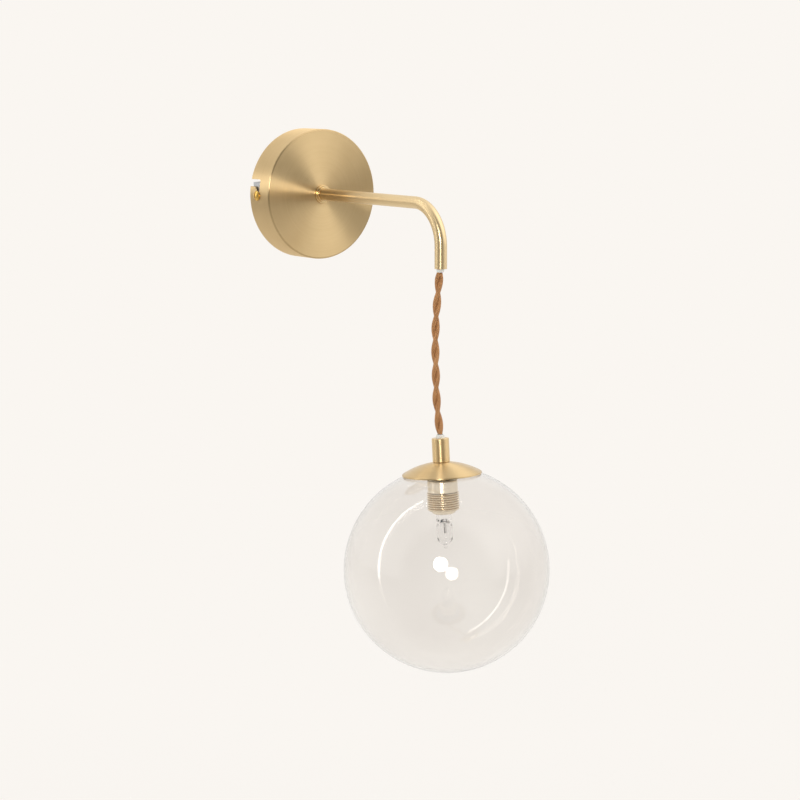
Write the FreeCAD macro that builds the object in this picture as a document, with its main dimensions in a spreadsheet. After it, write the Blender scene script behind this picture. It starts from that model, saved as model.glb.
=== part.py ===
"""Globe wall sconce: a spun backplate on a strap bracket, a bent arm, a twisted cord and a hanging glass globe.

Millimetres. The origin is the centre of the backplate on the wall plane, +Z is up, and the arm reaches along -Y.
"""

import FreeCAD, Part
import math
import os

import Sketcher
from FreeCAD import Placement, Rotation, Vector

doc = FreeCAD.newDocument("GlobeWallSconce")

# ---------------------------------------------------------------- driving sizes

SIZES = {
    # backplate: a spun cup, open at the back, with two J slots in its rim
    "plate_diameter": 120.0,
    "plate_depth": 30.0,
    "plate_sheet": 1.0,
    "plate_edge_radius": 1.4,
    "slot_entry_width": 6.6,
    "slot_entry_offset": 11.5,
    "slot_leg_width": 5.8,
    "slot_corner_radius": 1.4,
    "slot_tongue_radius": 3.4,
    # strap bracket on the wall
    "bracket_sheet": 1.5,
    "bracket_width": 24.0,
    "bracket_bend_radius": 2.5,
    "ear_height": 17.0,
    "ear_corner_radius": 3.0,
    "ear_clearance": 0.4,
    "wall_slot_pitch": 80.0,
    "wall_slot_length": 14.0,
    "wall_slot_width": 4.6,
    "cable_hole_diameter": 14.0,
    # side screws through the J slots into the ears
    "side_screw_height": 12.0,
    "side_screw_diameter": 4.0,
    "side_screw_past_ear": 1.5,
    "side_screw_head_diameter": 8.8,
    "side_screw_head_height": 2.9,
    "side_screw_dome_radius": 6.5,
    "side_screw_groove_width": 1.0,
    "side_screw_groove_depth": 1.3,
    "head_clearance": 0.3,
    # earth screw and its ring tag
    "earth_screw_offset": 20.0,
    "earth_screw_diameter": 4.0,
    "earth_head_diameter": 8.0,
    "earth_head_height": 2.4,
    "earth_head_edge_radius": 0.8,
    "cross_recess_span": 4.8,
    "cross_recess_width": 1.0,
    "cross_recess_depth": 1.2,
    "wall_gap": 0.2,
    "tag_diameter": 8.6,
    "tag_clearance": 0.1,
    "tag_sheet": 0.8,
    "tag_neck_length": 1.6,
    "tag_overlap": 0.5,
    "tag_barrel_length": 7.0,
    "tag_barrel_diameter": 3.4,
    # terminal block
    "block_offset": 20.0,
    "block_width": 14.0,
    "block_height": 11.0,
    "block_pitch": 8.0,
    "block_entry_diameter": 3.4,
    "block_entry_height": 5.6,
    "block_waist_width": 1.0,
    "block_waist_depth": 5.0,
    "block_screw_diameter": 3.0,
    "block_screw_spacing": 6.2,
    "block_screw_length": 2.8,
    "block_shaft_clearance": 0.2,
    "block_foot_diameter": 3.2,
    "block_foot_clearance": 0.1,
    "terminal_diameter": 5.0,
    "terminal_clearance": 0.1,
    "terminal_inset": 1.2,
    "lead_diameter": 2.2,
    "lead_clearance": 0.05,
    # arm tube and what clamps it to the plate
    "arm_reach": 207.0,
    "arm_drop": 55.0,
    "arm_bend_radius": 36.0,
    "tube_diameter": 10.8,
    "tube_bore": 8.0,
    "thread_diameter": 10.0,
    "thread_clearance": 0.1,
    "arm_thread_length": 15.0,
    "collar_diameter": 16.8,
    "collar_depth": 4.0,
    "collar_step_diameter": 14.2,
    "collar_step_depth": 2.0,
    "collar_edge_radius": 0.5,
    "lock_washer_diameter": 17.0,
    "lock_washer_tooth_depth": 1.2,
    "lock_washer_sheet": 0.8,
    "nut_flats": 14.0,
    "nut_depth": 3.2,
    # the cord and the white sleeves that guard it
    "cord_diameter": 7.2,
    "cord_end_gap": 2.5,
    "sleeve_diameter": 6.4,
    "sleeve_below_mouth": 3.0,
    "sleeve_above_mouth": 1.5,
    "sleeve_bore": 5.0,
    "sleeve_foot_edge": 0.3,
    "sleeve_top_taper": 0.5,
    "sleeve_pull": 0.6,
    # where the pendant hangs: below the arm's mouth, with the lean that the cord gives it
    "pendant_drop": 148.3,
    "pendant_across": 0.1,
    "pendant_lean": 4.75,
    "pendant_lean_heading": -90.0,
    # cord grip
    "grip_diameter": 15.2,
    "grip_length": 21.0,
    "grip_wall": 1.5,
    "grip_edge_radius": 0.5,
    "insert_diameter": 7.4,
    "insert_above_grip": 3.1,
    "insert_length": 13.0,
    "insert_bore": 5.2,
    "insert_clearance": 0.1,
    "insert_edge_radius": 0.4,
    "grip_screw_diameter": 3.0,
    "grip_screw_clearance": 0.05,
    "grip_screw_depth": 6.0,
    "grip_screw_sunk": 0.3,
    "grip_socket_flats": 1.5,
    "grip_socket_depth": 1.6,
    # dome cap
    "cap_diameter": 70.0,
    "cap_height": 11.0,
    "cap_sheet": 1.0,
    "cap_lip": 1.5,
    "cap_lip_step": 0.5,
    "cap_glass_gap": 1.1,
    # glass
    "globe_diameter": 181.0,
    "glass_wall": 2.0,
    "glass_hole_diameter": 32.0,
    "gasket_diameter": 44.0,
    "gasket_bore": 34.0,
    "gasket_clearance": 0.05,
    # what holds the glass from inside
    "keeper_length": 46.0,
    "keeper_width": 28.0,
    "keeper_sheet": 1.5,
    "keeper_clearance": 0.1,
    "nipple_diameter": 10.0,
    "nipple_bore": 8.0,
    "nipple_above_cap": 6.5,
    "nipple_end_gap": 0.5,
    "nipple_in_holder": 5.0,
    # lampholder
    "holder_diameter": 23.5,
    "holder_length": 31.0,
    "holder_sheet": 0.8,
    "holder_neck_diameter": 14.0,
    "holder_shoulder_drop": 1.0,
    "holder_shoulder_edge": 0.7,
    "holder_smooth_length": 12.0,
    "thread_pitch": 2.0,
    "thread_depth": 0.6,
    "lip_length": 3.6,
    "lip_diameter": 20.4,
    "lip_edge": 0.6,
    "lip_turn_in": 1.0,
    "lip_turn_in_height": 1.2,
    "ceramic_recess": 2.0,
    "ceramic_length": 20.0,
    "ceramic_clearance": 0.15,
    "ceramic_nose_step": 2.2,
    "ceramic_nose_length": 2.2,
    "ceramic_nose_slope": 1.2,
    "pin_pitch": 9.0,
    "pin_slot_length": 5.0,
    "pin_slot_width": 1.8,
    "pin_slot_depth": 13.0,
    "contact_sheet": 0.4,
    "contact_end_gap": 0.4,
    "contact_above_face": 3.0,
    "contact_length": 3.0,
    "contact_clearance": 0.05,
    "core_diameter": 2.4,
    "core_spacing": 2.8,
    "core_clearance": 0.1,
    "core_way_depth": 3.0,
    "core_end_gap": 0.4,
    "core_below_insert_top": 0.6,
    # capsule bulb
    "bulb_diameter": 13.7,
    "bulb_length": 33.0,
    "bulb_tip_diameter": 3.2,
    "bulb_tip_edge": 1.6,
    "bulb_tip_height": 3.4,
    "bulb_tip_wall": 1.6,
    "bulb_lower_round": 6.5,
    "bulb_lower_radius": 7.5,
    "bulb_upper_round": 4.8,
    "bulb_upper_radius": 8.2,
    "bulb_neck_diameter": 7.2,
    "bulb_shoulder_length": 8.0,
    "bulb_seal_width": 14.0,
    "bulb_seal_thickness": 4.0,
    "bulb_wall": 1.0,
    "bulb_seat_gap": 0.3,
    "pin_wire_diameter": 0.8,
    "pin_length": 11.0,
    "pin_in_seal": 2.0,
    "pin_loop_width": 3.0,
    "filament_diameter": 1.1,
    "filament_length": 9.0,
    "filament_below_seal": 6.5,
    "post_wire_diameter": 0.4,
    "post_spacing": 3.2,
}

sheet = doc.addObject("Spreadsheet::Sheet", "Sizes")
for row, (alias, number) in enumerate(SIZES.items(), start=1):
    sheet.set(f"A{row}", alias)
    sheet.set(f"B{row}", str(number))
    sheet.setAlias(f"B{row}", alias)
doc.recompute()


class Size:
    """A number together with the sheet expression that gives it."""

    def __init__(self, number, text):
        self.number = float(number)
        self.text = text

    def __add__(self, other):
        other = as_size(other)
        return Size(self.number + other.number, f"({self.text} + {other.text})")

    def __sub__(self, other):
        other = as_size(other)
        return Size(self.number - other.number, f"({self.text} - {other.text})")

    def __rsub__(self, other):
        return as_size(other) - self

    def __mul__(self, other):
        other = as_size(other)
        return Size(self.number * other.number, f"({self.text} * {other.text})")

    def __truediv__(self, other):
        other = as_size(other)
        return Size(self.number / other.number, f"({self.text} / {other.text})")

    def __neg__(self):
        return Size(-self.number, f"(0 - {self.text})")

    __radd__ = __add__
    __rmul__ = __mul__


def as_size(value):
    if isinstance(value, Size):
        return value
    return Size(value, repr(float(value)))


def root(size):
    return Size(math.sqrt(size.number), f"sqrt({size.text})")


def at(alias):
    """A driving size, read back from the sheet."""
    return Size(sheet.get(alias), f"Sizes.{alias}")


ZERO = as_size(0.0)
OVERSHOOT = as_size(1.0)  # how far a cut runs past what it cuts
WAYS = (-1, 0, 1)  # the terminal block's ways, in pitches from its middle
WASHER_TEETH = 12

# ---------------------------------------------------------------- modelling helpers


def new_body(label):
    body = doc.addObject("PartDesign::Body", label)
    body.Label = label
    return body


def origin_plane(body, role):
    return next(f for f in body.Origin.OriginFeatures if f.Role == role)


def new_sketch(body, role, name, offset=None):
    """A sketch on one of the body's own origin planes, lifted off it by an offset."""
    sketch = body.newObject("Sketcher::SketchObject", name)
    sketch.AttachmentSupport = [(origin_plane(body, role), "")]
    sketch.MapMode = "FlatFace"
    if offset is not None:
        sketch.AttachmentOffset = Placement(Vector(0, 0, offset.number), Rotation())
        sketch.setExpression(".AttachmentOffset.Base.z", offset.text)
    return sketch


def fix_point(sketch, geometry, end, x, y):
    """Holds a point of the sketch at x, y with expressions on both distances."""
    for kind, value in (("DistanceX", x), ("DistanceY", y)):
        if abs(value.number) < 1e-9 and value.text == ZERO.text:
            other = -2 if kind == "DistanceX" else -1
            sketch.addConstraint(Sketcher.Constraint("PointOnObject", geometry, end, other))
            continue
        index = sketch.addConstraint(
            Sketcher.Constraint(kind, -1, 1, geometry, end, value.number)
        )
        sketch.setExpression(f"Constraints[{index}]", value.text)


def add_circle(sketch, x, y, diameter):
    circle = Part.Circle(Vector(x.number, y.number, 0), Vector(0, 0, 1), diameter.number / 2)
    index = sketch.addGeometry(circle, False)
    fix_point(sketch, index, 3, x, y)
    held = sketch.addConstraint(Sketcher.Constraint("Diameter", index, diameter.number))
    sketch.setExpression(f"Constraints[{held}]", diameter.text)


def arc_centre(start, end, radius, left):
    """The centre of an arc of that radius, to the left or right of the way from start to end."""
    chord = end - start
    middle = (start + end) * 0.5
    height = math.sqrt(max(radius**2 - (chord.Length / 2) ** 2, 0.0))
    side = Vector(-chord.y, chord.x, 0).normalize()
    return middle + side * (height if left else -height)


def add_outline(sketch, steps):
    """A closed outline. A step is (x, y), or (x, y, radius, side) where an arc leads to the next
    point; side "left" or "right" says where the arc's centre lies on the way there. A half circle
    is held by its centre being level with its ends, because its radius alone leaves it loose."""
    first = None
    last = None
    for place, step in enumerate(steps):
        following = steps[(place + 1) % len(steps)]
        start = Vector(step[0].number, step[1].number, 0)
        end = Vector(following[0].number, following[1].number, 0)
        if len(step) == 2:
            index = sketch.addGeometry(Part.LineSegment(start, end), False)
            begin, finish = 1, 2
        else:
            radius, side = step[2], step[3]
            centre = arc_centre(start, end, radius.number, side == "left")
            angles = [math.atan2(p.y - centre.y, p.x - centre.x) for p in (start, end)]
            circle = Part.Circle(centre, Vector(0, 0, 1), radius.number)
            if side == "right":
                angles.reverse()
            index = sketch.addGeometry(Part.ArcOfCircle(circle, angles[0], angles[1]), False)
            begin, finish = (1, 2) if side == "left" else (2, 1)
            if (end - start).Length > 1.999 * radius.number:
                upright = abs(end.x - start.x) < abs(end.y - start.y)
                kind = "Vertical" if upright else "Horizontal"
                sketch.addConstraint(Sketcher.Constraint(kind, index, begin, index, 3))
            else:
                held = sketch.addConstraint(Sketcher.Constraint("Radius", index, radius.number))
                sketch.setExpression(f"Constraints[{held}]", radius.text)
        fix_point(sketch, index, begin, step[0], step[1])
        if last is not None:
            sketch.addConstraint(Sketcher.Constraint("Coincident", last[0], last[1], index, begin))
        if first is None:
            first = (index, begin)
        last = (index, finish)
    sketch.addConstraint(Sketcher.Constraint("Coincident", last[0], last[1], first[0], first[1]))


def add_slot(sketch, x, y, length, width):
    """A slot of that overall length along the sketch's x, centred on x, y."""
    reach = (length - width) / 2
    half = width / 2
    add_outline(
        sketch,
        [
            (x - reach, y - half),
            (x + reach, y - half, half, "left"),
            (x + reach, y + half),
            (x - reach, y + half, half, "left"),
        ],
    )


def add_rectangle(sketch, low_x, low_y, high_x, high_y):
    add_outline(sketch, [(low_x, low_y), (high_x, low_y), (high_x, high_y), (low_x, high_y)])


def pad(body, sketch, length, name, midplane=False, reverse=False):
    feature = body.newObject("PartDesign::Pad", name)
    feature.Profile = sketch
    feature.Length = length.number
    feature.setExpression("Length", length.text)
    feature.Midplane = midplane
    feature.Reversed = reverse
    doc.recompute()
    return feature


def pocket(body, sketch, length, name, reverse=False, midplane=False):
    """A pocket, with a test that it takes material away."""
    doc.recompute()
    before = body.Shape.Volume
    feature = body.newObject("PartDesign::Pocket", name)
    feature.Profile = sketch
    feature.Length = length.number
    feature.setExpression("Length", length.text)
    feature.Reversed = reverse
    feature.Midplane = midplane
    doc.recompute()
    if not body.Shape.Volume < before - 1e-6:
        raise RuntimeError(f"{body.Label}: {name} cuts nothing")
    return feature


def revolve(body, sketch, name):
    """The sketch, on the body's XZ plane, turned about the body's Z axis."""
    feature = body.newObject("PartDesign::Revolution", name)
    feature.Profile = sketch
    feature.ReferenceAxis = (sketch, ["V_Axis"])
    feature.Angle = 360
    doc.recompute()
    return feature


def turned(label, steps):
    """A body turned about its own Z axis from one closed outline of (radius, height) steps."""
    body = new_body(label)
    sketch = new_sketch(body, "XZ_Plane", f"{label}_outline")
    add_outline(sketch, steps)
    revolve(body, sketch, f"{label}_turn")
    return body


def ring(label, bore, diameter, low, high):
    inner, outer = bore / 2, diameter / 2
    return turned(label, [(inner, low), (outer, low), (outer, high), (inner, high)])


def twice_about_axis(body, feature, name):
    pattern = body.newObject("PartDesign::PolarPattern", name)
    pattern.Originals = [feature]
    pattern.Axis = (origin_plane(body, "Z_Axis"), [""])
    pattern.Angle = 360
    pattern.Occurrences = 2
    body.Tip = pattern
    doc.recompute()
    return pattern


def add_hexagon(sketch, flats, height=ZERO):
    """A hexagon of that size across its flats, centred on 0, height."""
    corner = flats / math.sqrt(3)
    steps = []
    for turn in range(6):
        angle = math.radians(60 * turn)
        steps.append((corner * math.cos(angle), corner * math.sin(angle) + height))
    add_outline(sketch, steps)


def hexagon_nut(label, low, depth, flats, bore):
    body = new_body(label)
    sketch = new_sketch(body, "XY_Plane", f"{label}_flats", low)
    add_hexagon(sketch, flats)
    add_circle(sketch, ZERO, ZERO, bore)
    pad(body, sketch, depth, f"{label}_block")
    return body


def shape_piece(label, shape):
    """A piece whose form is set with Part's own functions."""
    piece = doc.addObject("Part::Feature", label)
    piece.Label = label
    piece.Shape = shape
    return piece


def rounded_path(points):
    """Straight runs joined by tangent arcs, each as large as its two runs allow; prints the radii."""
    edges = []
    radii = []
    start = points[0]
    for before, corner, after in zip(points, points[1:], points[2:]):
        into = (corner - before).normalize()
        out = (after - corner).normalize()
        half_turn = into.getAngle(out) / 2
        trim = 0.45 * min((corner - before).Length, (after - corner).Length)
        radii.append(trim / math.tan(half_turn))
        arc_start = corner - into * trim
        arc_end = corner + out * trim
        bisector = (out - into).normalize()
        middle = corner + bisector * (radii[-1] / math.cos(half_turn) - radii[-1])
        edges.append(Part.LineSegment(start, arc_start).toShape())
        edges.append(Part.Arc(arc_start, middle, arc_end).toShape())
        start = arc_end
    edges.append(Part.LineSegment(start, points[-1]).toShape())
    return Part.Wire(edges), radii


def round_tube(label, points, diameter):
    """A plain round cord or lead along a route of points chosen by hand."""
    path, radii = rounded_path(points)
    start = points[0]
    heading = points[1] - points[0]
    section = Part.Wire([Part.Circle(start, heading, diameter / 2).toShape()])
    solid = path.makePipeShell([section], True, False)
    expected = math.pi * diameter**2 / 4 * path.Length
    print(
        f"{label}: length {path.Length:.1f}, volume {solid.Volume:.0f} against {expected:.0f},",
        "radii", [round(r, 1) for r in radii],
    )
    if abs(solid.Volume - expected) > 0.01 * expected:
        raise RuntimeError(f"{label}: the tube's volume is off")
    return shape_piece(label, solid)


# ---------------------------------------------------------------- sizes that follow from others

plate_inside_radius = at("plate_diameter") / 2 - at("plate_sheet")
plate_back_face = at("plate_depth") - at("plate_sheet")
# the ear's corners, at half the strap's width, are what comes nearest to the cup's round inside
ear_corner_radius = plate_inside_radius - at("ear_clearance")
half_strap = at("bracket_width") / 2
ear_outer = root(ear_corner_radius * ear_corner_radius - half_strap * half_strap)
thread_hole = at("thread_diameter") + at("thread_clearance") * 2
tube_start = at("plate_depth") + at("collar_depth")
nut_top = plate_back_face - at("lock_washer_sheet")
stub_end = at("plate_depth") - at("arm_thread_length")
earth_head_low = at("bracket_sheet") + at("tag_sheet")

globe_radius = at("globe_diameter") / 2
cap_rim = -(at("grip_length") + at("cap_height"))
cap_radius = at("cap_diameter") / 2
globe_centre = cap_rim - at("cap_glass_gap") - root(
    globe_radius * globe_radius - cap_radius * cap_radius
)
inner_radius = globe_radius - at("glass_wall")
half_keeper = at("keeper_length") / 2
keeper_top = globe_centre + root(inner_radius * inner_radius - half_keeper * half_keeper)
keeper_low = keeper_top - at("keeper_sheet")
holder_top = keeper_low - at("nut_depth")
holder_low = holder_top - at("holder_length")
ceramic_face = holder_low + at("ceramic_recess")
bulb_top = ceramic_face - at("bulb_seat_gap")
seal_low = bulb_top - at("bulb_shoulder_length")
filament_middle = seal_low - at("filament_below_seal")
insert_top = at("insert_above_grip")

# ---------------------------------------------------------------- the backplate and its bracket
# These pieces are built with local z as the distance from the wall and local y pointing up.


def make_backplate():
    outside = at("plate_diameter") / 2
    sheet_metal = at("plate_sheet")
    edge = at("plate_edge_radius")
    front = at("plate_depth")
    inner_edge = edge - sheet_metal
    body = turned(
        "backplate_cup",
        [
            (thread_hole / 2, front - sheet_metal),
            (outside - edge, front - sheet_metal, inner_edge, "right"),
            (outside - sheet_metal, front - edge),
            (outside - sheet_metal, ZERO),
            (outside, ZERO),
            (outside, front - edge, edge, "left"),
            (outside - edge, front),
            (thread_hole / 2, front),
        ],
    )
    # the J slot: an entry open to the wall side, then a leg round the rim to the screw
    sketch = new_sketch(body, "YZ_Plane", "j_slot_outline")
    half_leg = at("slot_leg_width") / 2
    leg = at("side_screw_height")
    near = at("slot_entry_offset") - at("slot_entry_width") / 2
    far = at("slot_entry_offset") + at("slot_entry_width") / 2
    corner = at("slot_corner_radius")
    tongue = at("slot_tongue_radius")
    add_outline(
        sketch,
        [
            (far, -OVERSHOOT),
            (far, leg + half_leg - corner, corner, "left"),
            (far - corner, leg + half_leg),
            (ZERO, leg + half_leg, half_leg, "left"),
            (ZERO, leg - half_leg),
            (near - tongue, leg - half_leg, tongue, "right"),
            (near, leg - half_leg - tongue),
            (near, -OVERSHOOT),
        ],
    )
    slot = pocket(body, sketch, outside + OVERSHOOT, "j_slot", reverse=False)
    if body.Shape.BoundBox.XMax < outside.number - 0.01:
        raise RuntimeError("the first J slot is on the wrong side")
    twice_about_axis(body, slot, "j_slots")
    return body


def make_bracket():
    body = new_body("wall_bracket")
    sheet_metal = at("bracket_sheet")
    outer = ear_outer
    bend = at("bracket_bend_radius")
    inner_bend = bend - sheet_metal
    tip = at("ear_height")
    profile = new_sketch(body, "XZ_Plane", "strap_profile")
    add_outline(
        profile,
        [
            (-(outer - bend), ZERO),
            (outer - bend, ZERO, bend, "left"),
            (outer, bend),
            (outer, tip),
            (outer - sheet_metal, tip),
            (outer - sheet_metal, bend, inner_bend, "right"),
            (outer - bend, sheet_metal),
            (-(outer - bend), sheet_metal, inner_bend, "right"),
            (-(outer - sheet_metal), bend),
            (-(outer - sheet_metal), tip),
            (-outer, tip),
            (-outer, bend, bend, "left"),
        ],
    )
    pad(body, profile, at("bracket_width"), "strap", midplane=True)
    # the ears' tips have round corners
    corner = at("ear_corner_radius")
    corners = new_sketch(body, "YZ_Plane", "ear_corner_outline")
    add_outline(
        corners,
        [
            (half_strap, tip - corner, corner, "left"),
            (half_strap - corner, tip),
            (half_strap - corner, tip + OVERSHOOT),
            (half_strap + OVERSHOOT, tip + OVERSHOOT),
            (half_strap + OVERSHOOT, tip - corner),
        ],
    )
    cut = pocket(body, corners, at("plate_diameter"), "ear_corner", midplane=True)
    twice_about_axis(body, cut, "ear_corners")
    holes = new_sketch(body, "XY_Plane", "strap_holes")
    half_pitch = at("wall_slot_pitch") / 2
    for centre in (-half_pitch, half_pitch):
        add_slot(holes, centre, ZERO, at("wall_slot_length"), at("wall_slot_width"))
    add_circle(holes, ZERO, ZERO, at("cable_hole_diameter"))
    add_circle(holes, -at("earth_screw_offset"), ZERO, at("earth_screw_diameter"))
    for joint in (-0.5, 0.5):
        foot_hole = at("block_foot_diameter") + at("block_foot_clearance") * 2
        add_circle(holes, at("block_offset"), at("block_pitch") * joint, foot_hole)
    pocket(body, holes, tip, "strap_hole_cut", reverse=True)
    threads = new_sketch(body, "YZ_Plane", "ear_holes")
    add_circle(threads, ZERO, at("side_screw_height"), at("side_screw_diameter"))
    pocket(body, threads, at("plate_diameter"), "ear_hole_cut", midplane=True)
    return body


def make_side_screws():
    """Two slotted pan-head screws, one in each ear, with their heads outside the rim."""
    body = new_body("side_screws")
    sketch = new_sketch(body, "XZ_Plane", "side_screw_outline")
    height = at("side_screw_height")
    shank = at("side_screw_diameter") / 2
    head = at("side_screw_head_diameter") / 2
    seat = at("plate_diameter") / 2 + at("head_clearance")
    top = seat + at("side_screw_head_height")
    end = ear_outer - at("bracket_sheet") - at("side_screw_past_ear")
    dome = at("side_screw_dome_radius")
    add_outline(
        sketch,
        [
            (end, height),
            (top, height, dome, "left"),
            (top - dome + root(dome * dome - head * head), height + head),
            (seat, height + head),
            (seat, height + shank),
            (end, height + shank),
        ],
    )
    feature = body.newObject("PartDesign::Revolution", "side_screw_turn")
    feature.Profile = sketch
    feature.ReferenceAxis = (sketch, ["Edge1"])
    feature.Angle = 360
    doc.recompute()
    groove = new_sketch(body, "XZ_Plane", "driver_groove_outline")
    half_groove = at("side_screw_groove_width") / 2
    bottom = top - at("side_screw_groove_depth")
    add_rectangle(groove, bottom, height - half_groove, top + OVERSHOOT, height + half_groove)
    cut = pocket(body, groove, (head + OVERSHOOT) * 2, "driver_groove", midplane=True)
    pattern = body.newObject("PartDesign::PolarPattern", "side_screw_pair")
    pattern.Originals = [feature, cut]
    pattern.Axis = (origin_plane(body, "Z_Axis"), [""])
    pattern.Angle = 360
    pattern.Occurrences = 2
    body.Tip = pattern
    doc.recompute()
    return body


def make_earth_screw():
    shank = at("earth_screw_diameter") / 2
    head = at("earth_head_diameter") / 2
    top = earth_head_low + at("earth_head_height")
    edge = at("earth_head_edge_radius")
    body = turned(
        "bracket_earth_screw",
        [
            (ZERO, at("wall_gap")),
            (shank, at("wall_gap")),
            (shank, earth_head_low),
            (head, earth_head_low),
            (head, top - edge, edge, "left"),
            (head - edge, top),
            (ZERO, top),
        ],
    )
    cross = new_sketch(body, "XY_Plane", "cross_recess_outline", top)
    arm, wide = at("cross_recess_span") / 2, at("cross_recess_width") / 2
    add_outline(
        cross,
        [
            (wide, wide), (arm, wide), (arm, -wide), (wide, -wide),
            (wide, -arm), (-wide, -arm), (-wide, -wide), (-arm, -wide),
            (-arm, wide), (-wide, wide), (-wide, arm), (wide, arm),
        ][::-1],
    )
    pocket(body, cross, at("cross_recess_depth"), "cross_recess")
    return body


def make_ring_tag():
    """The earth lead's crimped tag: an eye under the screw and a rolled barrel."""
    low = at("bracket_sheet")
    sheet_metal = at("tag_sheet")
    body = new_body("earth_ring_tag")
    eye = new_sketch(body, "XY_Plane", "tag_eye_outline", low)
    add_circle(eye, ZERO, ZERO, at("tag_diameter"))
    add_circle(eye, ZERO, ZERO, at("earth_screw_diameter") + at("tag_clearance") * 2)
    pad(body, eye, sheet_metal, "tag_eye")
    neck = new_sketch(body, "XY_Plane", "tag_neck_outline", low)
    start = at("tag_diameter") / 2 - at("tag_overlap")
    barrel = at("tag_barrel_diameter") / 2
    neck_end = start + at("tag_neck_length")
    add_rectangle(neck, start, -barrel, neck_end + at("tag_overlap"), barrel)
    pad(body, neck, sheet_metal, "tag_neck")
    rolled = new_sketch(body, "YZ_Plane", "tag_barrel_outline", neck_end)
    add_circle(rolled, ZERO, low + barrel, barrel * 2)
    add_circle(rolled, ZERO, low + barrel, at("lead_diameter") + at("lead_clearance") * 2)
    pad(body, rolled, at("tag_barrel_length"), "tag_barrel")
    return body


def make_terminal_block():
    """Three ways in a row, with a round entry at each end of a way and a screw shaft above it."""
    body = new_body("terminal_block")
    low = at("bracket_sheet")
    half_length = at("block_pitch") * len(WAYS) / 2
    left = at("block_offset") - at("block_width") / 2
    right = at("block_offset") + at("block_width") / 2
    foot = new_sketch(body, "XY_Plane", "block_outline", low)
    add_rectangle(foot, left, -half_length, right, half_length)
    pad(body, foot, at("block_height"), "block")
    feet = new_sketch(body, "XY_Plane", "block_feet", low)
    for joint in (-0.5, 0.5):
        add_circle(feet, at("block_offset"), at("block_pitch") * joint, at("block_foot_diameter"))
    pad(body, feet, low - at("wall_gap"), "block_foot", reverse=True)
    waist = new_sketch(body, "XY_Plane", "block_waists", low + at("block_height"))
    half_waist = at("block_waist_width") / 2
    for joint in (-0.5, 0.5):
        line = at("block_pitch") * joint
        add_rectangle(waist, left - OVERSHOOT, line - half_waist, right + OVERSHOOT, line + half_waist)
    pocket(body, waist, at("block_waist_depth"), "block_waist_cut")
    entries = new_sketch(body, "YZ_Plane", "block_entries", left - OVERSHOOT)
    for way in WAYS:
        add_circle(entries, at("block_pitch") * way, at("block_entry_height"), at("terminal_diameter"))
    pocket(body, entries, at("block_width") + OVERSHOOT * 2, "block_entry_cut", reverse=True)
    shafts = new_sketch(body, "XY_Plane", "block_screw_shafts", low + at("block_height"))
    shaft = at("block_screw_diameter") + at("block_shaft_clearance") * 2
    for way in WAYS:
        for side in (-0.5, 0.5):
            x = at("block_offset") + at("block_screw_spacing") * side
            add_circle(shafts, x, at("block_pitch") * way, shaft)
    pocket(body, shafts, low + at("block_height") - at("block_entry_height"), "block_shaft_cut")
    return body


def make_terminals():
    """The brass tubes in the block, each with its two screws."""
    body = new_body("block_terminals")
    half_tube = at("block_width") / 2 - at("terminal_inset")
    tubes = new_sketch(body, "YZ_Plane", "terminal_tubes", at("block_offset") - half_tube)
    outer = at("terminal_diameter") - at("terminal_clearance") * 2
    for way in WAYS:
        y = at("block_pitch") * way
        add_circle(tubes, y, at("block_entry_height"), outer)
        add_circle(tubes, y, at("block_entry_height"), at("block_entry_diameter"))
    pad(body, tubes, half_tube * 2, "terminal_tube")
    bore_top = at("block_entry_height") + at("block_entry_diameter") / 2
    screws = new_sketch(body, "XY_Plane", "terminal_screws", bore_top)
    for way in WAYS:
        for side in (-0.5, 0.5):
            x = at("block_offset") + at("block_screw_spacing") * side
            add_circle(screws, x, at("block_pitch") * way, at("block_screw_diameter"))
    pad(body, screws, at("block_screw_length"), "terminal_screw")
    return body


# ---------------------------------------------------------------- the arm


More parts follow.
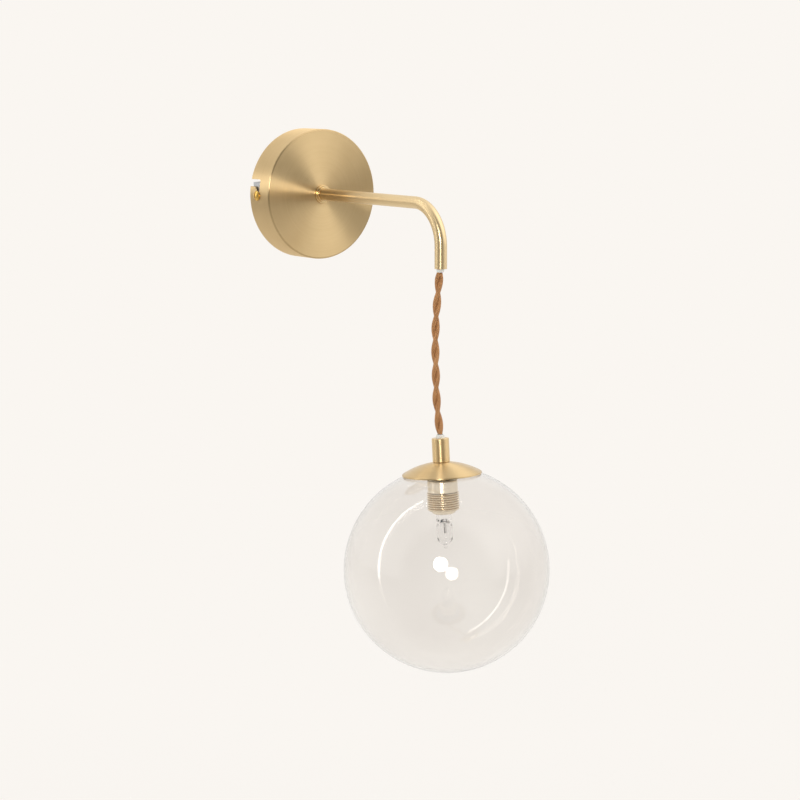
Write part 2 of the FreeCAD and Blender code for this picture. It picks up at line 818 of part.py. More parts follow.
def make_arm():
    """A tube bent through a quarter turn, with a turned-down threaded end that goes through the plate."""
    body = new_body("arm_tube")
    route = new_sketch(body, "YZ_Plane", "arm_route")
    reach, drop, bend = at("arm_reach"), at("arm_drop"), at("arm_bend_radius")
    low = stub_end
    straight = route.addGeometry(
        Part.LineSegment(Vector(0, low.number, 0), Vector(0, (reach - bend).number, 0)), False
    )
    elbow_circle = Part.Circle(
        Vector(-bend.number, (reach - bend).number, 0), Vector(0, 0, 1), bend.number
    )
    elbow = route.addGeometry(Part.ArcOfCircle(elbow_circle, 0.0, math.pi / 2), False)
    down = route.addGeometry(
        Part.LineSegment(
            Vector(-bend.number, reach.number, 0), Vector(-drop.number, reach.number, 0)
        ),
        False,
    )
    fix_point(route, straight, 1, ZERO, low)
    fix_point(route, straight, 2, ZERO, reach - bend)
    fix_point(route, down, 1, -bend, reach)
    fix_point(route, down, 2, -drop, reach)
    route.addConstraint(Sketcher.Constraint("Coincident", straight, 2, elbow, 1))
    route.addConstraint(Sketcher.Constraint("Coincident", elbow, 2, down, 1))
    held = route.addConstraint(Sketcher.Constraint("Radius", elbow, bend.number))
    route.setExpression(f"Constraints[{held}]", bend.text)
    section = new_sketch(body, "XY_Plane", "arm_section", low)
    add_circle(section, ZERO, ZERO, at("tube_diameter"))
    add_circle(section, ZERO, ZERO, at("tube_bore"))
    doc.recompute()
    pipe = body.newObject("PartDesign::AdditivePipe", "arm_pipe")
    pipe.Profile = section
    pipe.Spine = (route, [])
    doc.recompute()
    # the threaded end is turned down to the thread's outside diameter
    turned_down = new_sketch(body, "XZ_Plane", "arm_thread_outline")
    add_rectangle(
        turned_down, at("thread_diameter") / 2, low - OVERSHOOT, at("tube_diameter"), tube_start
    )
    before = body.Shape.Volume
    groove = body.newObject("PartDesign::Groove", "arm_thread")
    groove.Profile = turned_down
    groove.ReferenceAxis = (turned_down, ["V_Axis"])
    groove.Angle = 360
    doc.recompute()
    if not body.Shape.Volume < before:
        raise RuntimeError("the arm's end isn't turned down")
    return body


def make_collar():
    low = at("plate_depth")
    step = low + at("collar_step_depth")
    top = low + at("collar_depth")
    bore = thread_hole / 2
    outer = at("collar_diameter") / 2
    inner = at("collar_step_diameter") / 2
    edge = at("collar_edge_radius")
    return turned(
        "arm_collar",
        [
            (bore, low),
            (outer, low),
            (outer, step - edge, edge, "left"),
            (outer - edge, step),
            (inner, step),
            (inner, top - edge, edge, "left"),
            (inner - edge, top),
            (bore, top),
        ],
    )


def make_lock_washer():
    """A toothed washer that bites the plate and the nut."""
    body = new_body("arm_lock_washer")
    sketch = new_sketch(body, "XY_Plane", "washer_outline", nut_top)
    outer = at("lock_washer_diameter") / 2
    root_circle = outer - at("lock_washer_tooth_depth")
    steps = []
    for tooth in range(WASHER_TEETH):
        for share, radius in ((0.0, root_circle), (0.3, outer), (0.7, outer)):
            angle = 2 * math.pi * (tooth + share) / WASHER_TEETH
            steps.append((radius * math.cos(angle), radius * math.sin(angle)))
    add_outline(sketch, steps)
    add_circle(sketch, ZERO, ZERO, thread_hole)
    pad(body, sketch, at("lock_washer_sheet"), "washer")
    return body


def make_mouth_sleeve():
    """The white sleeve that keeps the cord off the arm's edge; its inner end tapers, so it can tilt."""
    outer = at("sleeve_diameter") / 2
    bore = at("sleeve_bore") / 2
    low = -at("sleeve_below_mouth")
    edge = at("sleeve_foot_edge")
    return turned(
        "mouth_sleeve",
        [
            (bore, low),
            (outer - edge, low),
            (outer, low + edge),
            (outer, ZERO),
            (outer - at("sleeve_top_taper"), at("sleeve_above_mouth")),
            (bore, at("sleeve_above_mouth")),
        ],
    )


# ---------------------------------------------------------------- the pendant
# These pieces are built with local z = 0 at the top face of the cord grip.


def make_grip():
    """A brass sleeve, closed at its foot round the nipple's thread."""
    outer = at("grip_diameter") / 2
    inner = outer - at("grip_wall")
    bottom = -at("grip_length")
    edge = at("grip_edge_radius")
    throat = at("insert_diameter") / 2 + at("insert_clearance")
    foot = bottom + at("nipple_above_cap")
    thread = thread_hole / 2
    body = turned(
        "cord_grip",
        [
            (thread, bottom),
            (outer - edge, bottom, edge, "left"),
            (outer, bottom + edge),
            (outer, -edge, edge, "left"),
            (outer - edge, ZERO),
            (throat, ZERO),
            (throat, -at("insert_length")),
            (inner, -at("insert_length")),
            (inner, foot),
            (thread, foot),
        ],
    )
    sketch = new_sketch(body, "XZ_Plane", "grip_screw_hole_outline")
    add_circle(sketch, ZERO, -at("grip_screw_depth"), at("grip_screw_diameter"))
    pocket(body, sketch, at("grip_diameter"), "grip_screw_hole", reverse=False)
    return body


def make_grip_screw():
    """A socket grub screw in the wall side of the grip, which presses on the insert."""
    body = new_body("grip_screw")
    near = at("insert_diameter") / 2 + at("grip_screw_clearance")
    far = at("grip_diameter") / 2 - at("grip_screw_sunk")
    height = -at("grip_screw_depth")
    sketch = new_sketch(body, "XZ_Plane", "grub_outline", -near)
    add_circle(sketch, ZERO, height, at("grip_screw_diameter") - at("grip_screw_clearance") * 2)
    pad(body, sketch, far - near, "grub", reverse=True)
    socket = new_sketch(body, "XZ_Plane", "grub_socket_outline", -far)
    add_hexagon(socket, at("grip_socket_flats"), height)
    pocket(body, socket, at("grip_socket_depth"), "grub_socket", reverse=True)
    return body


def make_insert():
    outer = at("insert_diameter") / 2
    bore = at("insert_bore") / 2
    edge = at("insert_edge_radius")
    return turned(
        "grip_insert",
        [
            (bore, -at("insert_length")),
            (outer, -at("insert_length")),
            (outer, insert_top - edge, edge, "left"),
            (outer - edge, insert_top),
            (bore, insert_top),
        ],
    )


def make_nipple():
    low = holder_top - at("nipple_in_holder")
    high = -at("grip_length") + at("nipple_above_cap") - at("nipple_end_gap")
    return ring("pendant_nipple", at("nipple_bore"), at("nipple_diameter"), low, high)


cap_lip_radius = cap_radius - at("cap_lip_step")
cap_dome_height = at("cap_height") - at("cap_lip")
cap_dome_radius = (cap_lip_radius * cap_lip_radius + cap_dome_height * cap_dome_height) / (
    cap_dome_height * 2
)
cap_dome_centre = -at("grip_length") - cap_dome_radius


def dome_height(radius, dome):
    """The height of the dome's surface over a point at that radius."""
    return cap_dome_centre + root(dome * dome - radius * radius)


def make_cap():
    """A spun dome of even sheet with a short upright lip."""
    hole = thread_hole / 2
    sheet_metal = at("cap_sheet")
    under = cap_dome_radius - sheet_metal
    inner = cap_radius - sheet_metal
    lip_top = cap_rim + at("cap_lip")
    return turned(
        "pendant_cap",
        [
            (hole, dome_height(hole, under)),
            (hole, dome_height(hole, cap_dome_radius), cap_dome_radius, "right"),
            (cap_lip_radius, lip_top),
            (cap_radius, lip_top - at("cap_lip_step")),
            (cap_radius, cap_rim),
            (inner, cap_rim),
            (inner, dome_height(inner, under), under, "left"),
        ],
    )


def sphere_height(radius, sphere):
    return globe_centre + root(sphere * sphere - radius * radius)


def make_gasket():
    """A clear ring that fills the space between the dome and the glass round its hole."""
    bore = at("gasket_bore") / 2
    outer = at("gasket_diameter") / 2
    under = cap_dome_radius - at("cap_sheet") - at("gasket_clearance")
    over = globe_radius + at("gasket_clearance")
    return turned(
        "glass_gasket",
        [
            (bore, sphere_height(bore, over)),
            (bore, dome_height(bore, under), under, "right"),
            (outer, dome_height(outer, under)),
            (outer, sphere_height(outer, over), over, "left"),
        ],
    )


def make_globe():
    bottom = globe_centre - globe_radius
    inner_bottom = globe_centre - inner_radius
    hole = at("glass_hole_diameter") / 2
    body = new_body("glass_globe")
    sketch = new_sketch(body, "XZ_Plane", "globe_outline")
    add_outline(
        sketch,
        [
            (ZERO, inner_bottom),
            (ZERO, bottom, globe_radius, "left"),
            (globe_radius, globe_centre, globe_radius, "left"),
            (hole, sphere_height(hole, globe_radius)),
            (hole, sphere_height(hole, inner_radius), inner_radius, "right"),
            (inner_radius, globe_centre, inner_radius, "right"),
        ],
    )
    revolve(body, sketch, "globe_turn")
    return body


def make_keeper():
    """The oblong steel plate inside the glass: narrower than the hole one way, longer the other."""
    body = new_body("glass_keeper")
    sketch = new_sketch(body, "XY_Plane", "keeper_outline", keeper_low)
    half_length = half_keeper - at("keeper_clearance")
    half_width = at("keeper_width") / 2
    end = root(half_length * half_length - half_width * half_width)
    add_outline(
        sketch,
        [
            (end, -half_width, half_length, "left"),
            (end, half_width),
            (-end, half_width, half_length, "left"),
            (-end, -half_width),
        ],
    )
    add_circle(sketch, ZERO, ZERO, thread_hole)
    pad(body, sketch, at("keeper_sheet") - at("keeper_clearance"), "keeper_plate")
    return body


# ---------------------------------------------------------------- lampholder and bulb


def make_holder_shell():
    """The plated sleeve of the lampholder: a smooth upper part, a rolled thread and a tapered lip."""
    outer = at("holder_diameter") / 2
    sheet_metal = at("holder_sheet")
    inner = outer - at("thread_depth") - sheet_metal
    lip = at("lip_diameter") / 2
    smooth_end = holder_top - at("holder_smooth_length")
    thread_end = holder_low + at("lip_length")
    neck = at("holder_neck_diameter") / 2
    drop = at("holder_shoulder_drop")
    edge = at("holder_shoulder_edge")
    steps = [
        (inner, holder_top - drop - sheet_metal),
        (neck, holder_top - sheet_metal),
        (thread_hole / 2, holder_top - sheet_metal),
        (thread_hole / 2, holder_top),
        (neck, holder_top),
        (outer - edge, holder_top - drop),
        (outer, holder_top - drop - edge),
        (outer, smooth_end),
    ]
    pitch = at("thread_pitch").number
    turns = int(round((smooth_end - thread_end).number / pitch))
    rib = (smooth_end - thread_end) / turns
    for turn in range(turns):
        top = smooth_end - rib * turn
        steps.append((outer - at("thread_depth"), top - rib * 0.3))
        steps.append((outer - at("thread_depth"), top - rib * 0.5))
        steps.append((outer, top - rib * 0.8))
        steps.append((outer, top - rib))
    lip_inside = inner - at("lip_turn_in")
    steps += [
        (lip, holder_low + at("lip_edge")),
        (lip - at("lip_edge"), holder_low),
        (lip_inside, holder_low),
        (lip_inside, holder_low + at("lip_turn_in_height")),
        (inner, holder_low + at("lip_turn_in_height") + at("lip_turn_in")),
    ]
    return turned("holder_shell", steps[::-1])


def make_ceramic():
    """The ceramic core, with the two slots that take the bulb's wire loops."""
    body = new_body("holder_ceramic")
    outline = new_sketch(body, "XZ_Plane", "ceramic_outline")
    shell_inside = at("holder_diameter") / 2 - at("thread_depth") - at("holder_sheet")
    outer = shell_inside - at("ceramic_clearance")
    nose = outer - at("ceramic_nose_step")
    nose_top = ceramic_face + at("ceramic_nose_length")
    top = ceramic_face + at("ceramic_length")
    add_outline(
        outline,
        [
            (ZERO, ceramic_face),
            (nose, ceramic_face),
            (nose, nose_top),
            (outer, nose_top + at("ceramic_nose_slope")),
            (outer, top),
            (ZERO, top),
        ],
    )
    revolve(body, outline, "ceramic_turn")
    slots = new_sketch(body, "XY_Plane", "pin_slot_outline", ceramic_face)
    for side in (-1, 1):
        x = at("pin_pitch") / 2 * side
        add_slot(slots, x, ZERO, at("pin_slot_length"), at("pin_slot_width"))
    pocket(body, slots, at("pin_slot_depth"), "pin_slots", reverse=True)
    ways = new_sketch(body, "XY_Plane", "core_way_outline", top)
    way = at("core_diameter") + at("core_clearance") * 2
    for side in (-1, 1):
        add_circle(ways, at("core_spacing") / 2 * side, ZERO, way)
    pocket(body, ways, at("core_way_depth"), "core_ways")
    return body


def make_contacts():
    """A spring leaf at the outer wall of each pin slot."""
    body = new_body("holder_contacts")
    top = ceramic_face + at("pin_slot_depth") - at("contact_end_gap")
    low = ceramic_face + at("contact_above_face")
    sketch = new_sketch(body, "XY_Plane", "contact_outline", low)
    half = at("contact_length") / 2
    edge = at("pin_slot_width") / 2 - at("contact_clearance")
    for side in (-1, 1):
        x = at("pin_pitch") / 2 * side
        add_rectangle(sketch, x - half, edge - at("contact_sheet"), x + half, edge)
    pad(body, sketch, top - low, "contact_leaves")
    return body


def make_core(label, side):
    """One insulated core, from the grip's insert through the nipple to the ceramic."""
    body = new_body(label)
    low = ceramic_face + at("ceramic_length") - at("core_way_depth") + at("core_end_gap")
    top = insert_top - at("core_below_insert_top")
    sketch = new_sketch(body, "XY_Plane", f"{label}_outline", low)
    add_circle(sketch, at("core_spacing") / 2 * side, ZERO, at("core_diameter"))
    pad(body, sketch, top - low, f"{label}_run")
    return body


def make_bulb_glass():
    """The glass capsule: a flat pressed seal, a bulb that swells to its middle and a drawn tip."""
    body = new_body("bulb_glass")
    wall = at("bulb_wall")
    outer = at("bulb_diameter") / 2
    inner = outer - wall
    tip = at("bulb_tip_diameter") / 2
    neck = at("bulb_neck_diameter") / 2
    low = bulb_top - at("bulb_length")
    tip_top = low + at("bulb_tip_height")
    lower_end = tip_top + at("bulb_lower_round")
    neck_top = seal_low + wall
    widest = seal_low - at("bulb_upper_round")
    outline = new_sketch(body, "XZ_Plane", "capsule_outline")
    add_outline(
        outline,
        [
            (ZERO, low),
            (tip / 2, low),
            (tip, low + at("bulb_tip_edge")),
            (tip, tip_top, at("bulb_lower_radius"), "left"),
            (outer, lower_end),
            (outer, widest, at("bulb_upper_radius"), "left"),
            (neck, neck_top),
            (ZERO, neck_top),
            (ZERO, seal_low - wall),
            (neck - wall, seal_low - wall, at("bulb_upper_radius"), "right"),
            (inner, widest),
            (inner, lower_end, at("bulb_lower_radius"), "right"),
            (tip, tip_top + at("bulb_tip_wall")),
            (ZERO, tip_top + wall),
        ],
    )
    revolve(body, outline, "capsule_turn")
    seal = new_sketch(body, "XY_Plane", "seal_outline", seal_low)
    half_width = at("bulb_seal_width") / 2
    half_depth = at("bulb_seal_thickness") / 2
    add_rectangle(seal, -half_width, -half_depth, half_width, half_depth)
    pad(body, seal, at("bulb_shoulder_length"), "seal")
    return body


def make_bulb_pins():
    """Two hairpin wire loops that hook into the lampholder's slots."""
    wire = at("pin_wire_diameter").number
    start = (bulb_top - at("pin_in_seal")).number
    top = (bulb_top + at("pin_length")).number
    half_loop = (at("pin_loop_width") / 2 - at("pin_wire_diameter") / 2).number
    loops = []
    for side in (-1, 1):
        x = at("pin_pitch").number / 2 * side
        legs = [
            Part.LineSegment(Vector(x - half_loop, 0, start), Vector(x - half_loop, 0, top - half_loop)),
            Part.Arc(
                Vector(x - half_loop, 0, top - half_loop),
                Vector(x, 0, top),
                Vector(x + half_loop, 0, top - half_loop),
            ),
            Part.LineSegment(Vector(x + half_loop, 0, top - half_loop), Vector(x + half_loop, 0, start)),
        ]
        path = Part.Wire([leg.toShape() for leg in legs])
        section = Part.Circle(Vector(x - half_loop, 0, start), Vector(0, 0, 1), wire / 2)
        loops.append(path.makePipeShell([Part.Wire([section.toShape()])], True, False))
    return shape_piece("bulb_pins", Part.makeCompound(loops))


def make_filament():
    """The coiled filament as one fine tube, upright in the middle of the capsule."""
    half = at("filament_length") / 2
    outer = at("filament_diameter")
    return ring("bulb_filament", outer / 2, outer, filament_middle - half, filament_middle + half)


def make_filament_posts():
    """The two stiff wires that come out of the seal and turn in to the filament's two ends."""
    wire = at("post_wire_diameter").number
    reach = (at("filament_length").number + wire) / 2
    top = seal_low.number + wire
    side = at("post_spacing").number / 2
    posts = []
    for x, level in ((side, -reach), (-side, reach)):
        end = filament_middle.number + level
        path, _ = rounded_path([Vector(x, 0, top), Vector(x, 0, end), Vector(0, 0, end)])
        section = Part.Circle(Vector(x, 0, top), Vector(0, 0, 1), wire / 2)
        posts.append(path.makePipeShell([Part.Wire([section.toShape()])], True, False))
    return shape_piece("filament_posts", Part.makeCompound(posts))


# ---------------------------------------------------------------- cords and leads

HEADING = math.radians(SIZES["pendant_lean_heading"])
ACROSS = Vector(math.cos(HEADING), math.sin(HEADING), 0)
MOUTH = Vector(0, -at("arm_reach").number, -at("arm_drop").number)

# the hanging cord's route, chosen by hand: how far it bows across, and its height under the mouth
CORD_ROUTE = [
    (-1.6, -3.3),
    (-3.4, -18.0),
    (-6.6, -42.0),
    (-7.5, -66.0),
    (-6.4, -90.0),
    (-5.6, -114.0),
    (-2.7, -131.0),
    (-0.2, -144.7),
]

# the three leads in the backplate, in the wall pieces' own frame
LIVE_ROUTE = [(16.0, 8.0, 5.6), (9.5, 7.6, 5.5), (4.6, 4.8, 7.6), (1.8, 1.6, 12.4)]
NEUTRAL_ROUTE = [(16.0, -8.0, 5.6), (9.5, -7.6, 5.5), (4.6, -4.8, 7.6), (1.8, -1.6, 12.4)]
EARTH_ROUTE = [
    (-13.0, 0.0, 3.2), (-6.5, 0.0, 3.2), (-0.5, -3.0, 4.4), (6.5, -2.8, 5.8), (11.5, -0.2, 5.6), (16.0, 0.0, 5.6),
]


def make_cord():
    points = [MOUTH + ACROSS * across + Vector(0, 0, height) for across, height in CORD_ROUTE]
    return round_tube("cord", points, at("cord_diameter").number)


def make_cord_in_arm():
    """The cord where the arm holds it: along the tube's own centre line."""
    start = stub_end.number
    reach, bend = at("arm_reach").number, at("arm_bend_radius").number
    end = (at("sleeve_above_mouth") + at("cord_end_gap") - at("arm_drop")).number
    turn = reach - bend
    slant = bend * (1 - math.sqrt(0.5))
    edges = [
        Part.LineSegment(Vector(0, 0, start), Vector(0, 0, turn)).toShape(),
        Part.Arc(Vector(0, 0, turn), Vector(0, -slant, reach - slant), Vector(0, -bend, reach)).toShape(),
        Part.LineSegment(Vector(0, -bend, reach), Vector(0, end, reach)).toShape(),
    ]
    section = Part.Circle(Vector(0, 0, start), Vector(0, 0, 1), at("cord_diameter").number / 2)
    solid = Part.Wire(edges).makePipeShell([Part.Wire([section.toShape()])], True, False)
    return shape_piece("cord_in_arm", solid)


def make_lead(label, route):
    return round_tube(label, [Vector(*point) for point in route], at("lead_diameter").number)


# ---------------------------------------------------------------- the assembly

WALL = Placement(Vector(0, 0, 0), Rotation(Vector(1, 0, 0), 90))
EARTH = WALL.multiply(Placement(Vector(-at("earth_screw_offset").number, 0, 0), Rotation()))
AT_MOUTH = Placement(MOUTH - ACROSS * at("sleeve_pull").number, Rotation())
PENDANT = Placement(
    MOUTH + ACROSS * at("pendant_across").number - Vector(0, 0, at("pendant_drop").number),
    Rotation(Vector(math.sin(HEADING), -math.cos(HEADING), 0), at("pendant_lean").number),
)

nut = (nut_top - at("nut_depth"), at("nut_depth"), at("nut_flats"), thread_hole)
keeper_nut = (holder_top, at("nut_depth") - at("keeper_clearance"), at("nut_flats"), thread_hole)
pieces = [
    (make_bracket(), WALL),
    (make_side_screws(), WALL),
    (make_earth_screw(), EARTH),
    (make_ring_tag(), EARTH),
    (make_terminal_block(), WALL),
    (make_terminals(), WALL),
    (make_lead("live_lead", LIVE_ROUTE), WALL),
    (make_lead("neutral_lead", NEUTRAL_ROUTE), WALL),
    (make_lead("earth_lead", EARTH_ROUTE), WALL),
    (make_backplate(), WALL),
    (make_arm(), WALL),
    (make_collar(), WALL),
    (make_lock_washer(), WALL),
    (hexagon_nut("arm_lock_nut", *nut), WALL),
    (make_cord_in_arm(), WALL),
    (make_mouth_sleeve(), AT_MOUTH),
    (make_cord(), Placement()),
    (make_insert(), PENDANT),
    (make_grip(), PENDANT),
    (make_grip_screw(), PENDANT),
    (make_nipple(), PENDANT),
    (make_cap(), PENDANT),
    (make_gasket(), PENDANT),
    (make_globe(), PENDANT),
    (make_keeper(), PENDANT),
    (hexagon_nut("keeper_nut", *keeper_nut), PENDANT),
    (make_holder_shell(), PENDANT),
    (make_ceramic(), PENDANT),
    (make_contacts(), PENDANT),
    (make_core("live_core", 1), PENDANT),
    (make_core("neutral_core", -1), PENDANT),
    (make_bulb_glass(), PENDANT),
    (make_bulb_pins(), PENDANT),
    (make_filament(), PENDANT),
    (make_filament_posts(), PENDANT),
]
for piece, placement in pieces:
    piece.Placement = placement
doc.recompute()

for item in doc.Objects:
    if "Invalid" in item.State or "Error" in item.State:
        raise RuntimeError(f"{item.Label} is {item.State}")
os.makedirs("parts", exist_ok=True)
for piece, _ in pieces:
    if piece.Shape.isNull() or not piece.Shape.isValid() or not piece.Shape.Solids:
        raise RuntimeError(f"{piece.Label} has no valid solid")
    piece.Shape.exportStep(f"parts/{piece.Label}.step")
print(f"{len(pieces)} pieces written")
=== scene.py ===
"""The looks of the globe wall sconce: satin brass, clear blown glass and a twisted textile cord.

Metres, in the frame of the part: the origin is the middle of the backplate on the wall plane, +Z is up, and
the arm reaches along -Y.
"""

import math

import bmesh
import bpy
from mathutils import Matrix, Vector


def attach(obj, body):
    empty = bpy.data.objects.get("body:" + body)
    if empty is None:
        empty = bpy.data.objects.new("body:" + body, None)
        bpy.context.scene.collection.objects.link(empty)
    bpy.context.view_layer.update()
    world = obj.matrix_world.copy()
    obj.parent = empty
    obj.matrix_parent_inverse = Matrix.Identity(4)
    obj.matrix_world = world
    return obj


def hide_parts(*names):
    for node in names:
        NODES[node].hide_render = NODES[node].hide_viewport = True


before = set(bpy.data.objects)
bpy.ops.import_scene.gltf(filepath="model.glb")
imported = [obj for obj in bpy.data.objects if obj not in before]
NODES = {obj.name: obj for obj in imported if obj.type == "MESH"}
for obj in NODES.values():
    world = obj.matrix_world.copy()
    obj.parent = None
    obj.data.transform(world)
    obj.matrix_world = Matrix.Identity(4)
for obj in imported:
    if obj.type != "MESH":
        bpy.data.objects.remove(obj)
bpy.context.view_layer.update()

MM = 0.001
FULL_TURN = 2 * math.pi

# ---------------------------------------------------------------- the camera of the photograph

PICTURE_SIDE = 800.0
SENSOR_WIDTH = 36.0
FOCAL_PIXELS = 1913.0
CAMERA_DISTANCE = 1.8
CAMERA_AZIMUTH = math.radians(-37.3)
CAMERA_ELEVATION = math.radians(9.8)
PLATE_PIXEL = (304.0, 192.6)  # where the middle of the backplate's back lies in the picture


def make_camera():
    """A camera that sees the backplate's back centre at its pixel of the photograph."""
    sin_a, cos_a = math.sin(CAMERA_AZIMUTH), math.cos(CAMERA_AZIMUTH)
    sin_e, cos_e = math.sin(CAMERA_ELEVATION), math.cos(CAMERA_ELEVATION)
    back = Vector((sin_a * cos_e, -cos_a * cos_e, sin_e))
    right = Vector((cos_a, sin_a, 0))
    up = back.cross(right)
    metres_per_pixel = CAMERA_DISTANCE / FOCAL_PIXELS
    across = (PLATE_PIXEL[0] - PICTURE_SIDE / 2) * metres_per_pixel
    above = (PICTURE_SIDE / 2 - PLATE_PIXEL[1]) * metres_per_pixel
    place = back * CAMERA_DISTANCE - right * across - up * above
    lens = bpy.data.cameras.new("camera")
    lens.sensor_width = SENSOR_WIDTH
    lens.lens = SENSOR_WIDTH * FOCAL_PIXELS / PICTURE_SIDE
    lens.clip_start = 0.01
    camera = bpy.data.objects.new("camera", lens)
    turn = Matrix((right, up, back)).transposed().to_4x4()
    camera.matrix_world = Matrix.Translation(place) @ turn
    bpy.context.scene.collection.objects.link(camera)
    bpy.context.scene.camera = camera
    return right


PICTURE_RIGHT = make_camera()

# ---------------------------------------------------------------- places on the part

ARM_REACH, ARM_DROP = 207, 55  # millimetres
MOUTH = Vector((0, -ARM_REACH, -ARM_DROP)) * MM
BEND_RADIUS = 36.0 * MM
BEND_MIDDLE = (0.0, BEND_RADIUS - ARM_REACH * MM, -BEND_RADIUS)  # the point that the arm bends round
ORIGIN = (0.0, 0.0, 0.0)
ALONG_ARM = (0.0, -1.0, 0.0)

# the pendant leans a little in the arm's plane, and its own height 0 is at the top of the cord grip
LEAN = math.radians(4.75)
HEADING = math.radians(-90.0)
ACROSS = Vector((math.cos(HEADING), math.sin(HEADING), 0))
LEAN_AXIS = Vector((math.sin(HEADING), -math.cos(HEADING), 0))
PENDANT_ASIDE = 0.1 * MM
PENDANT_DROP = 148.3 * MM
PENDANT_TOP = MOUTH + ACROSS * PENDANT_ASIDE - Vector((0, 0, PENDANT_DROP))
PENDANT_TURN = Matrix.Rotation(LEAN, 3, LEAN_AXIS)
PENDANT_UP = PENDANT_TURN.col[2].copy()

# ---------------------------------------------------------------- meshes

MERGE_DISTANCE = 1e-7


def mesh_object(name, points, faces, smooth=True):
    mesh = bpy.data.meshes.new(name)
    mesh.from_pydata([tuple(p) for p in points], [], faces)
    mesh.validate()
    mesh.update()
    if smooth:
        mesh.shade_smooth()
    made = bpy.data.objects.new(name, mesh)
    bpy.context.scene.collection.objects.link(made)
    return made


def ring(middle, first, second, radius, steps):
    """Points round a circle, from the first direction towards the second."""
    angles = [FULL_TURN * k / steps for k in range(steps)]
    return [middle + (first * math.cos(a) + second * math.sin(a)) * radius for a in angles]


def ring_solid(name, rings):
    """A closed solid through rings of points, the last of which joins the first. A ring may be one point."""
    points = [point for ring in rings for point in ring]
    steps, faces = len(rings[0]), []
    for i in range(len(rings)):
        low, high = i * steps, ((i + 1) % len(rings)) * steps
        for k in range(steps):
            following = (k + 1) % steps
            faces.append((low + k, high + k, high + following, low + following))
    made = mesh_object(name, points, faces)
    merged = bmesh.new()
    merged.from_mesh(made.data)
    bmesh.ops.remove_doubles(merged, verts=merged.verts, dist=MERGE_DISTANCE)
    merged.to_mesh(made.data)
    merged.free()
    return made


def pendant_lathe(name, outline, steps):
    """A solid turned about the pendant's axis, from a closed clockwise outline of (radius, height) points."""
    first, second, axis = PENDANT_TURN.col
    rings = [ring(PENDANT_TOP + axis * height, first, second, radius, steps) for radius, height in outline]
    return ring_solid(name, rings)


# ---------------------------------------------------------------- the hanging cord

STRAND_DIAMETER = 3.75 * MM
STRAND_OFFSET = 1.75 * MM  # from the cord's centre line to each strand's
STRAND_SIDES = 28
TWIST_PITCH = 41.8 * MM
FIRST_PINCH = -75.6 * MM  # the height where one strand first hides the other from the camera
CORD_END = 6.0 * MM  # the strands draw together over this length at each end
END_OFFSET_SHARE = 0.55
CORD_STEP = 0.5 * MM
CORD_ROUTE = [  # across, and above the arm's mouth, in millimetres
    (-1.6, -3.3),
    (-3.4, -18.0),
    (-6.6, -42.0),
    (-7.5, -66.0),
    (-6.4, -90.0),
    (-5.6, -114.0),
    (-2.7, -131.0),
    (-0.2, -144.7),
]


def cord_line():
    """The cord's centre line: a smooth curve that the listed points pull."""
    curve = bpy.data.curves.new("cord_line", "CURVE")
    curve.dimensions = "3D"
    curve.resolution_u = 24
    spline = curve.splines.new("NURBS")
    spline.points.add(len(CORD_ROUTE) - 1)
    for point, (across, height) in zip(spline.points, CORD_ROUTE):
        place = MOUTH + ACROSS * across * MM + Vector((0, 0, height * MM))
        point.co = (*place, 1)
    spline.order_u = 3
    spline.use_endpoint_u = True
    line = bpy.data.objects.new("cord_line", curve)
    bpy.context.scene.collection.objects.link(line)
    sampled = bpy.data.meshes.new_from_object(line)
    points = [v.co.copy() for v in sampled.vertices]
    bpy.data.objects.remove(line)
    bpy.data.meshes.remove(sampled)
    return points


def evenly(points, step):
    """Points a steady step apart along a line of points, with each one's distance along it."""
    lengths = [0.0]
    for a, b in zip(points, points[1:]):
        lengths.append(lengths[-1] + (b - a).length)
    count = max(2, round(lengths[-1] / step))
    placed = []
    segment = 0
    for i in range(count + 1):
        along = lengths[-1] * i / count
        while segment < len(points) - 2 and lengths[segment + 1] < along:
            segment += 1
        span = lengths[segment + 1] - lengths[segment]
        share = (along - lengths[segment]) / span if span else 0.0
        placed.append((points[segment].lerp(points[segment + 1], share), along))
    return placed


def cross_frames(line):
    """At each point of the line, two directions square to the line that don't spin round it."""
    frames = []
    sideways = PICTURE_RIGHT.copy()
    for i, point in enumerate(line):
        ahead = line[min(i + 1, len(line) - 1)] - line[max(i - 1, 0)]
        ahead.normalize()
        sideways = (sideways - ahead * sideways.dot(ahead)).normalized()
        frames.append((point, sideways, ahead.cross(sideways)))
    return frames


def strand_centres(line, strand):
    """The centre line of one of the two strands, which wind round the cord's own line."""
    frames = cross_frames([point for point, _ in line])
    length = line[-1][1]
    centres = []
    for (point, sideways, other), (_, along) in zip(frames, line):
        # one strand hides the other where its offset points at the camera
        turn = math.pi / 2 + strand * math.pi + FULL_TURN * (point.z - FIRST_PINCH) / TWIST_PITCH
        opened = math.sin(min(1.0, along / CORD_END, (length - along) / CORD_END) * math.pi / 2)
        offset = STRAND_OFFSET * (END_OFFSET_SHARE + (1 - END_OFFSET_SHARE) * opened)
        centres.append(point + (sideways * math.cos(turn) - other * math.sin(turn)) * offset)
    return centres


